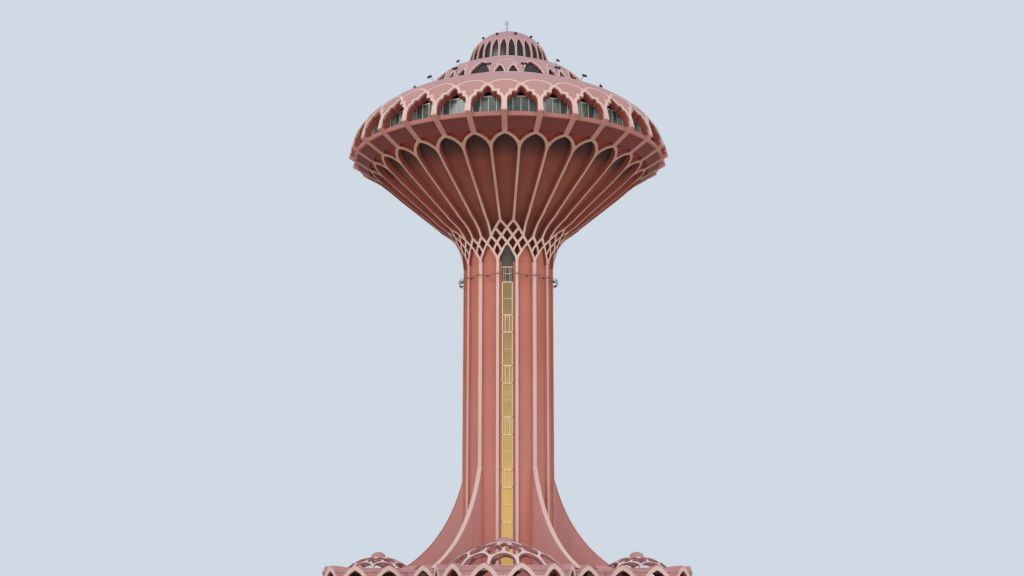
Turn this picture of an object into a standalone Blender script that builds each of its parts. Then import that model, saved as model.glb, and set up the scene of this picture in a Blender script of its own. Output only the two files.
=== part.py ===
# Ribbed concrete water tower as a 1:10 model: a fluted shaft on five buttress fins, a conical bowl under a
# lattice collar, a window gallery, a stepped roof with a lantern, and a ring of five domed pavilions.
# Metres, +Z up. The origin is on the tower's axis at ground level, and the front is -Y.
# Azimuths are in degrees from the front, turning towards +X.

from math import asin, atan, atan2, cos, degrees, radians, sin

import bmesh
import bpy
from mathutils import Vector
from mathutils.geometry import delaunay_2d_cdt, interpolate_bezier

GAP = 0.0003                # left between neighbours that touch
SECTORS = 5                 # the tower repeats five times round its axis
SECTOR = 360 / SECTORS
BAY = 12                    # the head has a pier or a rib every 12 degrees
SHAFT_BAY = 2 * BAY         # the shaft has a rib every 24 degrees
JOINT = 0.006               # half the joint between neighbouring sectors, in degrees
FRONT_FIN = SECTOR / 2      # azimuth of the first fin

# Shaft
SHAFT_R = 0.687
SHAFT_TOP = 5.12
SHAFT_WALL = 0.082          # from the ribs' outer face to the hollow inside
FLUTE_DEPTH = 0.04
RIB_HALF = 2.3              # half of a rib's width, in degrees
RIB_CHAMFER = 0.3
LIFT_HALF = 7.8             # half of the lift glazing's width, in degrees
LIFT_SILL = 0.05
LIFT_HEAD = 5.06
LIFT_SETBACK = 0.055
PANE = 0.02
GROUND_SLAB = 0.04

# Fins
FIN_THICKNESS = 0.06
FIN_TOP = 2.066
FIN_HANDLES = ((0.912, 1.020), (1.556, 0.704))
FIN_TOE_R = 1.732
FIN_STEPS = 12

# Bowl: heights of the lattice rows, its bars, and the arches under the gallery
ROW_A, ROW_B, ROW_C, ROW_D, ROW_E = 5.270, 5.391, 5.487, 5.590, 5.681
SPLAY = 5.2                 # how far row A lies from its rib, in degrees
NET_BAR = 0.036
NET_THICKNESS = 0.05
BOWL_SHELL = 0.04
ARCH_SPRING = 6.500
ARCH_SHOULDER = 6.590
ARCH_SHOULDER_HALF = 4.6    # half of the arch's width at its shoulder, in degrees
ARCH_TOP = 6.640
BOWL_R = 2.169
BOWL_TOP = 6.689
FLARE = ((0.690, SHAFT_TOP), (0.737, 5.681), (1.036, 5.697), (1.125, 5.819))
FLARE_STEPS = 4
CONE = [(1.744, 6.329), (1.952, 6.514), (BOWL_R, BOWL_TOP)]

# Gallery
GALLERY_R = 2.48
GALLERY_FLOOR = 6.88
FASCIA_R = 2.366
FASCIA_FOOT = 6.814
GALLERY_SLAB = 0.05
GALLERY_EDGE = 0.012        # height of the piers' upright outer edge
PIER_HALF = 1.05            # half of a pier's width, in degrees
PIER_SLOPE = 0.1
GLASS_R = 2.20
GLASS_TOP = 7.16

# Roof, upper tier and lantern
ROOF_SHELL = 0.11
ROOF_TOP_R = 1.347
ROOF_TOP = 7.827
ROOF_HANDLES = ((2.353, 7.606), (1.451, 7.812))
ROOF_STEPS = 5
TIER_SHELL = 0.07
TIER_FOOT = 7.74
TIER_TOP_R = 0.635
TIER_TOP = 8.351
TIER_HANDLES = ((1.076, 8.342), (0.866, 8.243))
TIER_STEPS = 4
LANTERN_SHELL = 0.05
LANTERN_FOOT = 8.29
TOP = 9.0
LANTERN_HANDLES = ((0.645, 8.899), (0.107, TOP))
LANTERN_STEPS = 4
MAST_HEIGHT = 0.21
MAST_HALF = 0.004
CROSSBAR_HALF = 0.03
CROSSBAR_DROP = 0.05

# Openings in the shells: the right half of each outline, as (degrees from its middle, height), up to its tip
WINDOW = [(4.9, GALLERY_FLOOR - 0.1), (4.9, 7.06), (3.7, 7.12), (3.3, 7.18), (1.6, 7.22), (0, 7.307)]
TIER_ARCH = [(6.6, 7.87), (5.0, 8.02), (0, 8.137)]
TIER_SMALL_ARCH = [(2.7, 7.87), (2.5, 7.97), (0, 8.05)]
TIER_PAIR = 4.5             # a small arch lies this many degrees to each side of its pair's middle
TIER_PANES = (7.845, 8.16)
LANCET = [(4.2, 8.385), (3.9, 8.58), (0, 8.71)]
LANTERN_PANES = (8.37, 8.73)

# Service ring
RING_Z = 4.93
RING_R = 0.752
RING_BAR = 0.012

# Pavilions: a larger one in front, four smaller ones, and a one-bay link between neighbours
EAVES = 0.605
ARCADE_WALL = 0.05
ARCADE_HALF = 0.20          # half of an arch's width
ARCADE_SPRING = 0.30
ARCADE_TOP = 0.56
FRONT_PAVILION = {"distance": 1.944, "radius": 0.972, "bays": 12, "dome_r": 0.79, "dome_top": 0.94,
                  "cells": 12, "knob_r": 0.105}
SIDE_PAVILION = {"distance": 1.948, "radius": 0.810, "bays": 10, "dome_r": 0.47, "dome_top": 0.785,
                 "cells": 8, "knob_r": 0.088}
DOME_SHELL = 0.03
DOME_STEPS = 4
KNOB_RISE = 0.08
# The three rows of openings in a dome: right halves, as (share of half a cell's width, share of the way to the knob)
DOME_ROWS = [
    [(0.86, 0.03), (0.82, 0.20), (0.50, 0.33), (0, 0.38)],
    [(0, 0.34), (0.78, 0.54), (0, 0.76)],
    [(0, 0.62), (0.66, 0.80), (0, 0.92)],
]
RIM = 0.05                  # how far the flat roof reaches in under the dome
LINK_HALF = 0.25
NEIGHBOURS = [(FRONT_PAVILION, SIDE_PAVILION)] + [(SIDE_PAVILION, SIDE_PAVILION)] * 3 \
    + [(SIDE_PAVILION, FRONT_PAVILION)]


def clear_scene():
    for thing in list(bpy.data.objects):
        bpy.data.objects.remove(thing, do_unlink=True)


def paint(name, colour, roughness, metallic=0.0):
    material = bpy.data.materials.new(name)
    material.use_nodes = True
    shader = material.node_tree.nodes["Principled BSDF"]
    shader.inputs["Base Color"].default_value = (*colour, 1.0)
    shader.inputs["Roughness"].default_value = roughness
    shader.inputs["Metallic"].default_value = metallic
    return material


def curve(start, first_handle, second_handle, end, steps):
    ends = [Vector((r, z, 0)) for r, z in (start, first_handle, second_handle, end)]
    return [(point.x, point.y) for point in interpolate_bezier(*ends, steps + 1)]


class SideLine:
    """The side line of a shell, as points (out, up) from its foot, with outward offsets that keep the thickness.

    foot_cut and head_cut give the direction in which the shell is cut at its two ends."""

    def __init__(self, points, foot_cut=None, head_cut=None):
        self.points = [Vector(point) for point in points]
        self.along = [0.0]
        faces = []
        for low, high in zip(self.points, self.points[1:]):
            step = high - low
            self.along.append(self.along[-1] + step.length)
            faces.append(Vector((step.y, -step.x)).normalized())
        self.out = []
        for index in range(len(self.points)):
            before = faces[max(index - 1, 0)]
            after = faces[min(index, len(faces) - 1)]
            mitre = (before + after).normalized()
            self.out.append(mitre / mitre.dot(after))
        if foot_cut:
            self.out[0] = Vector(foot_cut) / Vector(foot_cut).dot(faces[0])
        if head_cut:
            self.out[-1] = Vector(head_cut) / Vector(head_cut).dot(faces[-1])

    @property
    def length(self):
        return self.along[-1]

    def at(self, along, offset=0.0):
        index = 0
        while index < len(self.along) - 2 and along > self.along[index + 1]:
            index += 1
        part = (along - self.along[index]) / (self.along[index + 1] - self.along[index])
        low = self.points[index] + self.out[index] * offset
        high = self.points[index + 1] + self.out[index + 1] * offset
        return low.lerp(high, part)

    def reach(self, height):
        """Distance along the line at which it reaches a height, run on past its ends."""
        if height <= self.points[0].y:
            return height - self.points[0].y
        for index in range(len(self.points) - 1):
            low, high = self.points[index].y, self.points[index + 1].y
            if low <= height <= high and high > low:
                part = (height - low) / (high - low)
                return self.along[index] + part * (self.along[index + 1] - self.along[index])
        return self.length + height - self.points[-1].y


def round_at(radius, height, azimuth, bay):
    """A point on a many-sided ring whose corners lie at every multiple of bay."""
    half = bay / 2
    flat = radius * cos(radians(half)) / cos(radians(azimuth % bay - half))
    return Vector((flat * sin(radians(azimuth)), -flat * cos(radians(azimuth)), height))


def inside(point, loop):
    hit = False
    for (ax, ay), (bx, by) in zip(loop, loop[1:] + loop[:1]):
        if (ay > point[1]) != (by > point[1]) and point[0] < (bx - ax) * (point[1] - ay) / (by - ay) + ax:
            hit = not hit
    return hit


def pierced_sheet(outline, holes, folds, place, scale=1.0, seam=None, pole=None):
    """One closed solid from a flat pattern: the outline less its holes, folded on the fold lines.

    place(across, along, back) gives a pattern point's place on the face or, with back, on the rear.
    scale is the size of one unit across, seam the pair of across values that meet, and pole the along
    value at which the sheet closes to a point."""
    points = []
    edges = []
    for loop in [outline] + holes:
        first = len(points)
        points += [Vector((x * scale, y)) for x, y in loop]
        edges += [(first + i, first + (i + 1) % len(loop)) for i in range(len(loop))]
    for start, end in folds:
        edges.append((len(points), len(points) + 1))
        points += [Vector((start[0] * scale, start[1])), Vector((end[0] * scale, end[1]))]
    flat, _, triangles, _, _, _ = delaunay_2d_cdt(points, edges, [], 0, 1e-6)
    pattern = [(point.x / scale, point.y) for point in flat]
    kept = []
    for triangle in triangles:
        middle = (sum(pattern[i][0] for i in triangle) / 3, sum(pattern[i][1] for i in triangle) / 3)
        if inside(middle, outline) and not any(inside(middle, hole) for hole in holes):
            kept.append(tuple(triangle))
    used = {}
    for triangle in kept:
        for a, b in zip(triangle, triangle[1:] + triangle[:1]):
            used[(a, b)] = True
    mesh = bmesh.new()
    face = {}
    rear = {}
    for index in sorted({i for triangle in kept for i in triangle}):
        across, along = pattern[index]
        face[index] = mesh.verts.new(place(across, along, False))
        rear[index] = mesh.verts.new(place(across, along, True))
    for triangle in kept:
        mesh.faces.new([face[i] for i in triangle])
        mesh.faces.new([rear[i] for i in reversed(triangle)])
    for a, b in used:
        if (b, a) in used:
            continue
        on_seam = seam and any(abs(pattern[a][0] - x) < 1e-4 and abs(pattern[b][0] - x) < 1e-4 for x in seam)
        on_pole = pole is not None and abs(pattern[a][1] - pole) < 1e-5 and abs(pattern[b][1] - pole) < 1e-5
        if not on_seam and not on_pole:
            mesh.faces.new([face[b], face[a], rear[a], rear[b]])
    bmesh.ops.remove_doubles(mesh, verts=mesh.verts[:], dist=1e-6)
    loose = [edge for edge in mesh.edges if not edge.link_faces]
    bmesh.ops.delete(mesh, geom=loose, context="EDGES")
    bmesh.ops.recalc_face_normals(mesh, faces=mesh.faces[:])
    return mesh


def shell_sheet(line, thickness, holes, span, bay=BAY, depth=0.0, relief=None, more_folds=(), reach=None, pole=False):
    """A shell of revolution over a span of azimuths, from a side line and holes given as (azimuth, height) loops."""
    low, high = span
    foot, head = reach or (0.0, line.length)
    full = high - low > 359.9

    def place(azimuth, along, back):
        raised = relief(azimuth) if relief and not back else 0.0
        point = line.at(along, -depth - thickness if back else raised - depth)
        return round_at(point.x, point.y, azimuth, bay)

    loops = [[(azimuth, line.reach(height)) for azimuth, height in hole] for hole in holes]
    corners = [bay * step for step in range(int(low // bay) - 1, int(high // bay) + 2) if low < bay * step < high]
    folds = [((azimuth, foot), (azimuth, head)) for azimuth in corners + list(more_folds)]
    folds += [((low, along), (high, along)) for along in line.along[1:-1] if foot < along < head]
    outline = [(low, foot), (high, foot), (high, head), (low, head)]
    scale = radians(max(point.x for point in line.points))
    return pierced_sheet(outline, loops, folds, place, scale, span if full else None, head if pole else None)


def shrink(loop, margin, line):
    """A (azimuth, height) loop drawn in by a margin, measured on the shell's surface."""
    middle = sum(azimuth for azimuth, _ in loop) / len(loop)

    def flat(azimuth, height):
        along = line.reach(height)
        return Vector(((azimuth - middle) * radians(line.at(along).x), along))

    points = [flat(*point) for point in loop]
    area = sum(a.x * b.y - b.x * a.y for a, b in zip(points, points[1:] + points[:1]))
    turn = 1 if area > 0 else -1
    result = []
    for before, here, after in zip(points[-1:] + points[:-1], points, points[1:] + points[:1]):
        into = (here - before).normalized()
        onward = (after - here).normalized()
        normal_in = Vector((-into.y, into.x)) * turn
        normal_out = Vector((-onward.y, onward.x)) * turn
        mitre = (normal_in + normal_out).normalized()
        moved = here + mitre * (margin / max(mitre.dot(normal_in), 0.25))
        place = line.at(moved.y)
        result.append((middle + degrees(moved.x / place.x), place.y))
    return result


def add(name, mesh, material, azimuth=0.0, centre=(0.0, 0.0)):
    """One named object from a bmesh or a finished mesh, turned about its own upright axis."""
    if isinstance(mesh, bmesh.types.BMesh):
        data = bpy.data.meshes.new(name)
        mesh.to_mesh(data)
        mesh.free()
        data.materials.append(material)
        data.shade_smooth()
        data.set_sharp_from_angle(angle=radians(25))
    else:
        data = mesh
    thing = bpy.data.objects.new(name, data)
    thing.location = (centre[0], centre[1], 0)
    thing.rotation_euler.z = radians(azimuth)
    bpy.context.scene.collection.objects.link(thing)
    return thing


def add_ring(name, mesh, material, start=0.0, count=SECTORS):
    """The same mesh once in each sector, numbered from the front."""
    first = add(f"{name}_1", mesh, material, start)
    for index in range(1, count):
        add(f"{name}_{index + 1}", first.data, material, start + index * SECTOR)


def sector_span():
    return (-SECTOR / 2 + JOINT, SECTOR / 2 - JOINT)


def centres(step, offset, low, high):
    """Azimuths offset + n * step from low to high."""
    count = int((high - low) // step) + 2
    return [low + offset + step * i for i in range(-1, count) if low <= low + offset + step * i <= high]


def opening(middle, right):
    """A closed outline about a middle value, from its right half."""
    left = [(-x, up) for x, up in reversed(right) if x]
    return [(middle + x, up) for x, up in right + left]


def prism(outline, thickness):
    """An (r, z) outline as an upright plate across the -Y direction, centred on it."""
    mesh = bmesh.new()
    plate = mesh.faces.new([mesh.verts.new((-thickness / 2, -r, z)) for r, z in outline])
    made = bmesh.ops.extrude_face_region(mesh, geom=[plate])
    moved = [item for item in made["geom"] if isinstance(item, bmesh.types.BMVert)]
    bmesh.ops.translate(mesh, verts=moved, vec=(thickness, 0, 0))
    bmesh.ops.triangulate(mesh, faces=[face for face in mesh.faces if len(face.verts) > 4])
    bmesh.ops.recalc_face_normals(mesh, faces=mesh.faces[:])
    return mesh


def rib_relief(azimuth):
    """Zero on a shaft rib, and down to the flute between two ribs."""
    from_rib = abs(azimuth % SHAFT_BAY - BAY)
    return -FLUTE_DEPTH * min(max((from_rib - RIB_HALF) / RIB_CHAMFER, 0.0), 1.0)


def shaft(pink, gold):
    line = SideLine([(SHAFT_R, 0), (SHAFT_R, SHAFT_TOP - GAP)])
    folds = []
    for rib in centres(SHAFT_BAY, 0, -FRONT_FIN, FRONT_FIN):
        folds += [rib + side * edge for side in (-1, 1) for edge in (RIB_HALF, RIB_HALF + RIB_CHAMFER)]
    low, high = sector_span()
    folds = [azimuth for azimuth in folds if low < azimuth < high]
    slot = [(-LIFT_HALF, LIFT_SILL), (LIFT_HALF, LIFT_SILL), (LIFT_HALF, LIFT_HEAD), (-LIFT_HALF, LIFT_HEAD)]
    for index in range(SECTORS):
        holes = [slot] if index == 0 else []
        wall = shell_sheet(line, SHAFT_WALL, holes, (low, high), relief=rib_relief, more_folds=folds)
        add(f"shaft_wall_{index + 1}", wall, pink, index * SECTOR)
    play = degrees(GAP / (SHAFT_R - LIFT_SETBACK))
    span = (-LIFT_HALF + play, LIFT_HALF - play)
    glazing = shell_sheet(SideLine([(SHAFT_R, LIFT_SILL + GAP), (SHAFT_R, LIFT_HEAD - GAP)]), PANE, [], span,
                          depth=LIFT_SETBACK)
    add("lift_glazing", glazing, gold)
    add("ground_floor", disc(SHAFT_R - SHAFT_WALL - GAP, 0, GROUND_SLAB), pink)


def fins(pink):
    """Each fin stands behind the link between two pavilions, and its toe rests on the link's roof."""
    edge = curve((SHAFT_R + GAP, FIN_TOP), *FIN_HANDLES, (FIN_TOE_R, EAVES + GAP), FIN_STEPS)
    for index, (near, far) in enumerate(NEIGHBOURS):
        start = Vector(pavilion_centre(near, index * SECTOR))
        run = (Vector(pavilion_centre(far, (index + 1) * SECTOR)) - start).normalized()
        foot_r = abs(start.x * run.y - start.y * run.x) - LINK_HALF - GAP
        outline = [(SHAFT_R + GAP, 0), (foot_r, 0), (foot_r, EAVES + GAP)] + edge[::-1]
        add(f"shaft_fin_{index + 1}", prism(outline, FIN_THICKNESS), pink, FRONT_FIN + index * SECTOR)


def bowl_line():
    return SideLine(curve(*FLARE, FLARE_STEPS) + CONE, foot_cut=(1, 0))


def lattice_cells():
    """The gaps in the bowl's net over one sector, as (azimuth, height) loops on the bars' middle lines."""
    below = SHAFT_TOP - 0.2
    cells = []
    for bay in centres(SHAFT_BAY, 12, -48, 48):
        cells.append([(bay - BAY, below), (bay + BAY, below), (bay + BAY, SHAFT_TOP),
                      (bay + BAY - SPLAY, ROW_A), (bay, ROW_B), (bay - BAY + SPLAY, ROW_A), (bay - BAY, SHAFT_TOP)])
    for rib in centres(SHAFT_BAY, 0, -36, 36):
        cells.append([(rib, SHAFT_TOP), (rib + SPLAY, ROW_A), (rib, ROW_B), (rib - SPLAY, ROW_A)])
    for rib in centres(BAY, 6, -48, 48):
        knee = rib + (BAY / 2 - SPLAY) * (1 if (rib - BAY / 2) % SHAFT_BAY < 1 else -1)
        cells.append([(knee, ROW_A), (rib + 6, ROW_B), (rib, ROW_C), (rib - 6, ROW_B)])
    cells.append([(0, ROW_B), (6, ROW_C), (0, ROW_D), (-6, ROW_C)])
    for side in (-1, 1):
        cells.append([(12 * side, ROW_B), (18 * side, ROW_C), (12 * side, ROW_D), (6 * side, ROW_C)])
        cells.append([(6 * side, ROW_C), (12 * side, ROW_D), (6 * side, ROW_E), (0, ROW_D)])
    return cells


def flutes():
    """The long gaps between the bowl's ribs, pointed below and arched above."""
    gaps = []
    half = BAY / 2
    for bay in centres(BAY, 0, -36, 36):
        foot = ROW_D if abs(bay) <= BAY else ROW_B
        left = ROW_E if bay in (0, BAY) else ROW_C
        right = ROW_E if bay in (0, -BAY) else ROW_C
        gaps.append([(bay, foot), (bay + half, right), (bay + half, ARCH_SPRING),
                     (bay + ARCH_SHOULDER_HALF, ARCH_SHOULDER), (bay, ARCH_TOP),
                     (bay - ARCH_SHOULDER_HALF, ARCH_SHOULDER), (bay - half, ARCH_SPRING), (bay - half, left)])
    return gaps


def bowl(pink, pale):
    line = bowl_line()
    holes = [shrink(cell, NET_BAR / 2, line) for cell in lattice_cells()]
    holes += [shrink(gap, NET_BAR / 2, line) for gap in flutes()]
    add_ring("bowl_rib_net", shell_sheet(line, NET_THICKNESS, holes, sector_span()), pale)
    shell = shell_sheet(line, BOWL_SHELL, [], sector_span(), depth=NET_THICKNESS + GAP)
    add_ring("bowl_shell", shell, pink)


def gallery_section(azimuth, pier):
    """The ring's section: its outer foot and edge, its top, and the back over the bowl's edge."""
    line = bowl_line()
    depth = NET_THICKNESS + GAP + BOWL_SHELL
    foot = line.at(line.length) + (line.points[-1] - line.points[-2]).normalized() * GAP
    back = foot - line.out[-1] * depth
    edge_r, edge_z = (GALLERY_R, GALLERY_FLOOR - GALLERY_EDGE) if pier else (FASCIA_R, FASCIA_FOOT)
    top_r = GALLERY_R if pier else FASCIA_R
    section = [(foot.x, foot.y), (edge_r, edge_z), (top_r, GALLERY_FLOOR), (back.x, GALLERY_FLOOR), (back.x, back.y)]
    return [round_at(r, z, azimuth, BAY) for r, z in section]


def loft(sections):
    """A closed solid through a row of like sections."""
    mesh = bmesh.new()
    rows = [[mesh.verts.new(point) for point in section] for section in sections]
    count = len(rows[0])
    for near, far in zip(rows, rows[1:]):
        for i in range(count):
            mesh.faces.new([near[i], near[(i + 1) % count], far[(i + 1) % count], far[i]])
    mesh.faces.new(rows[0])
    mesh.faces.new(rows[-1][::-1])
    bmesh.ops.triangulate(mesh, faces=mesh.faces[:])
    bmesh.ops.recalc_face_normals(mesh, faces=mesh.faces[:])
    return mesh


def disc(radius, low, high):
    """A flat floor with the head's number of sides."""
    mesh = bmesh.new()
    rims = [[mesh.verts.new(round_at(radius, z, azimuth, BAY)) for azimuth in range(0, 360, BAY)] for z in (low, high)]
    mesh.faces.new(rims[0][::-1])
    mesh.faces.new(rims[1])
    for i, here in enumerate(rims[0]):
        j = (i + 1) % len(rims[0])
        mesh.faces.new([here, rims[0][j], rims[1][j], rims[1][i]])
    bmesh.ops.triangulate(mesh, faces=mesh.faces[:])
    bmesh.ops.recalc_face_normals(mesh, faces=mesh.faces[:])
    return mesh


def gallery(pink, glass):
    low, high = sector_span()
    sections = []
    for pier in centres(BAY, 0, -36, 36):
        for offset, proud in ((-PIER_HALF - PIER_SLOPE, False), (-PIER_HALF, True), (0, True), (PIER_HALF, True),
                              (PIER_HALF + PIER_SLOPE, False)):
            azimuth = min(max(pier + offset, low), high)
            if azimuth in (low, high) and offset != 0:
                continue
            sections.append(gallery_section(azimuth, proud))
    add_ring("gallery_ring", loft(sections), pink)
    back = gallery_section(0, False)[3]
    add("gallery_floor", disc(-back.y - GAP, GALLERY_FLOOR - GALLERY_SLAB, GALLERY_FLOOR), pink)
    panes = shell_sheet(SideLine([(GLASS_R, GALLERY_FLOOR + GAP), (GLASS_R, GLASS_TOP)]), PANE, [], (0, 360))
    add("gallery_glazing", panes, glass)


def roof(pink):
    side = curve((GALLERY_R, GALLERY_FLOOR + GAP), *ROOF_HANDLES, (ROOF_TOP_R, ROOF_TOP), ROOF_STEPS)
    line = SideLine(side, foot_cut=(1, 0), head_cut=(0, 1))
    holes = [opening(middle, WINDOW) for middle in centres(BAY, BAY / 2, -36, 36)]
    add_ring("roof_shell", shell_sheet(line, ROOF_SHELL, holes, sector_span()), pink)


def tier_line():
    rise = curve((ROOF_TOP_R - GAP, ROOF_TOP), *TIER_HANDLES, (TIER_TOP_R, TIER_TOP), TIER_STEPS)
    return SideLine([(ROOF_TOP_R - GAP, TIER_FOOT)] + rise, foot_cut=(1, 0), head_cut=(0, 1))


def upper_tier(pink, glass):
    line = tier_line()
    holes = [opening(middle, TIER_ARCH) for middle in centres(3 * BAY, 1.5 * BAY, 0, 360)]
    for pair in centres(3 * BAY, 0, 0, 360):
        holes += [opening(pair + side * TIER_PAIR, TIER_SMALL_ARCH) for side in (-1, 1)
                  if 0 < pair + side * TIER_PAIR < 360]
    add("upper_tier", shell_sheet(line, TIER_SHELL, holes, (0, 360)), pink)
    reach = [line.reach(height) for height in TIER_PANES]
    panes = shell_sheet(line, PANE, [], (0, 360), depth=TIER_SHELL + GAP, reach=reach)
    add("upper_tier_glazing", panes, glass)


def lantern(pink, glass):
    rise = curve((TIER_TOP_R - GAP, TIER_TOP), *LANTERN_HANDLES, (0, TOP), LANTERN_STEPS)
    line = SideLine([(TIER_TOP_R - GAP, LANTERN_FOOT)] + rise, foot_cut=(1, 0))
    line.out[-1] = Vector((0, 1))
    holes = [opening(middle, LANCET) for middle in centres(BAY, BAY / 2, 0, 360)]
    add("lantern", shell_sheet(line, LANTERN_SHELL, holes, (0, 360), pole=True), pink)
    reach = [line.reach(height) for height in LANTERN_PANES]
    panes = shell_sheet(line, PANE / 2, [], (0, 360), depth=LANTERN_SHELL + GAP, reach=reach)
    add("lantern_glazing", panes, glass)


def mast(steel):
    """A thin rod with a crossbar, cut from one plate."""
    foot, head = TOP + GAP, TOP + MAST_HEIGHT
    bar, half, reach = head - CROSSBAR_DROP, MAST_HALF, CROSSBAR_HALF
    outline = [(half, foot), (half, bar), (reach, bar), (reach, bar + half), (half, bar + half), (half, head)]
    outline += [(-r, z) for r, z in reversed(outline)]
    add("mast", prism(outline, 2 * half), steel)


def service_ring(steel):
    """A flat bar round the shaft with a stay to each rib."""
    stay = degrees(RING_BAR / 2 / SHAFT_R)
    inner, outer = SHAFT_R + GAP, RING_R
    holes = []
    for bay in range(0, 360, SHAFT_BAY):
        low, high = bay + BAY + stay, bay + SHAFT_BAY + BAY - stay
        holes.append([(low, 0), (high, 0), (high, outer - RING_BAR), (low, outer - RING_BAR)])
    corners = [azimuth for azimuth in range(BAY, 360 + BAY, BAY)]
    folds = [((azimuth, inner), (azimuth, outer)) for azimuth in corners]
    outline = [(BAY, inner), (360 + BAY, inner), (360 + BAY, outer), (BAY, outer)]

    def place(azimuth, radius, back):
        return round_at(radius, RING_Z - (RING_BAR if back else 0), azimuth, BAY)

    ring = pierced_sheet(outline, holes, folds, place, radians(RING_R), (BAY, 360 + BAY))
    add("service_ring", ring, steel)


def arch(half):
    """An arcade's pointed arch as (across, up) points, open at the ground."""
    rise = ARCADE_TOP - ARCADE_SPRING
    right = [(half, -0.1), (half, ARCADE_SPRING), (0.88 * half, ARCADE_SPRING + 0.5 * rise),
             (0.5 * half, ARCADE_TOP - 0.16 * rise), (0, ARCADE_TOP)]
    return opening(0, right)


def pavilion_centre(size, azimuth):
    return (size["distance"] * sin(radians(azimuth)), -size["distance"] * cos(radians(azimuth)))


def pavilion_meshes(size):
    """A pavilion's arcade with its flat roof, and its lattice dome."""
    bay = 360 / size["bays"]
    flat = size["radius"] * cos(radians(bay / 2))
    wall = SideLine([(size["radius"], 0), (size["radius"], EAVES), (size["dome_r"] - RIM, EAVES)])
    wall.out[-1] = Vector((0, 1))
    holes = []
    for index in range(size["bays"]):
        middle = (index + 0.5) * bay
        holes.append([(middle + degrees(atan(x / flat)), z) for x, z in arch(ARCADE_HALF)])
    arcade = shell_sheet(wall, ARCADE_WALL, holes, (0, 360), bay=bay)
    line = dome_line(size)
    to_knob = line.along[DOME_STEPS]
    step = 360 / size["cells"]
    cells = []
    for row, outline in enumerate(DOME_ROWS):
        right = [(share * step / 2, line.at(part * to_knob).y) for share, part in outline]
        cells += [opening(middle, right) for middle in centres(step, row % 2 * step / 2, 0, 360)]
    dome = shell_sheet(line, DOME_SHELL, cells, (0, 360), bay=step / 2, pole=True)
    return arcade, dome


def dome_line(size):
    """A dome's side line: part of a sphere from the flat roof up to a round knob."""
    base, rise, knob = size["dome_r"], size["dome_top"] - EAVES, size["knob_r"]
    sphere = (base * base + rise * rise) / (2 * rise)
    lean = [asin(base / sphere), asin(knob / sphere)]
    cap = []
    for step in range(DOME_STEPS + 1):
        angle = lean[0] + (lean[1] - lean[0]) * step / DOME_STEPS
        cap.append((sphere * sin(angle), size["dome_top"] - sphere * (1 - cos(angle)) + GAP))
    foot = cap[-1][1]
    top = [(0.95 * knob, foot + 0.4 * KNOB_RISE), (0.6 * knob, foot + 0.85 * KNOB_RISE), (0, foot + KNOB_RISE)]
    line = SideLine(cap + top, foot_cut=(1, 0))
    line.out[-1] = Vector((0, 1))
    return line


def pavilions(pink, pale):
    arcade, dome = pavilion_meshes(FRONT_PAVILION)
    centre = pavilion_centre(FRONT_PAVILION, 0)
    add("pavilion_arcade_1", arcade, pink, 0, centre)
    add("lattice_dome_1", dome, pale, 0, centre)
    arcade, dome = pavilion_meshes(SIDE_PAVILION)
    for index in range(1, SECTORS):
        azimuth = index * SECTOR
        centre = pavilion_centre(SIDE_PAVILION, azimuth)
        arcade = add(f"pavilion_arcade_{index + 1}", arcade, pink, azimuth, centre).data
        dome = add(f"lattice_dome_{index + 1}", dome, pale, azimuth, centre).data


def reach_of(size, heading, aside):
    """How far a pavilion's wall reaches from its centre, on a line that runs aside of a heading from its front."""
    bay = 360 / size["bays"]
    flat = size["radius"] * cos(radians(bay / 2))
    reaches = []
    for index in range(size["bays"]):
        lean = radians((index + 0.5) * bay - heading)
        if cos(lean) > 0.1:
            reaches.append((flat + GAP - aside * sin(lean)) / cos(lean))
    return min(reaches)


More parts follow.
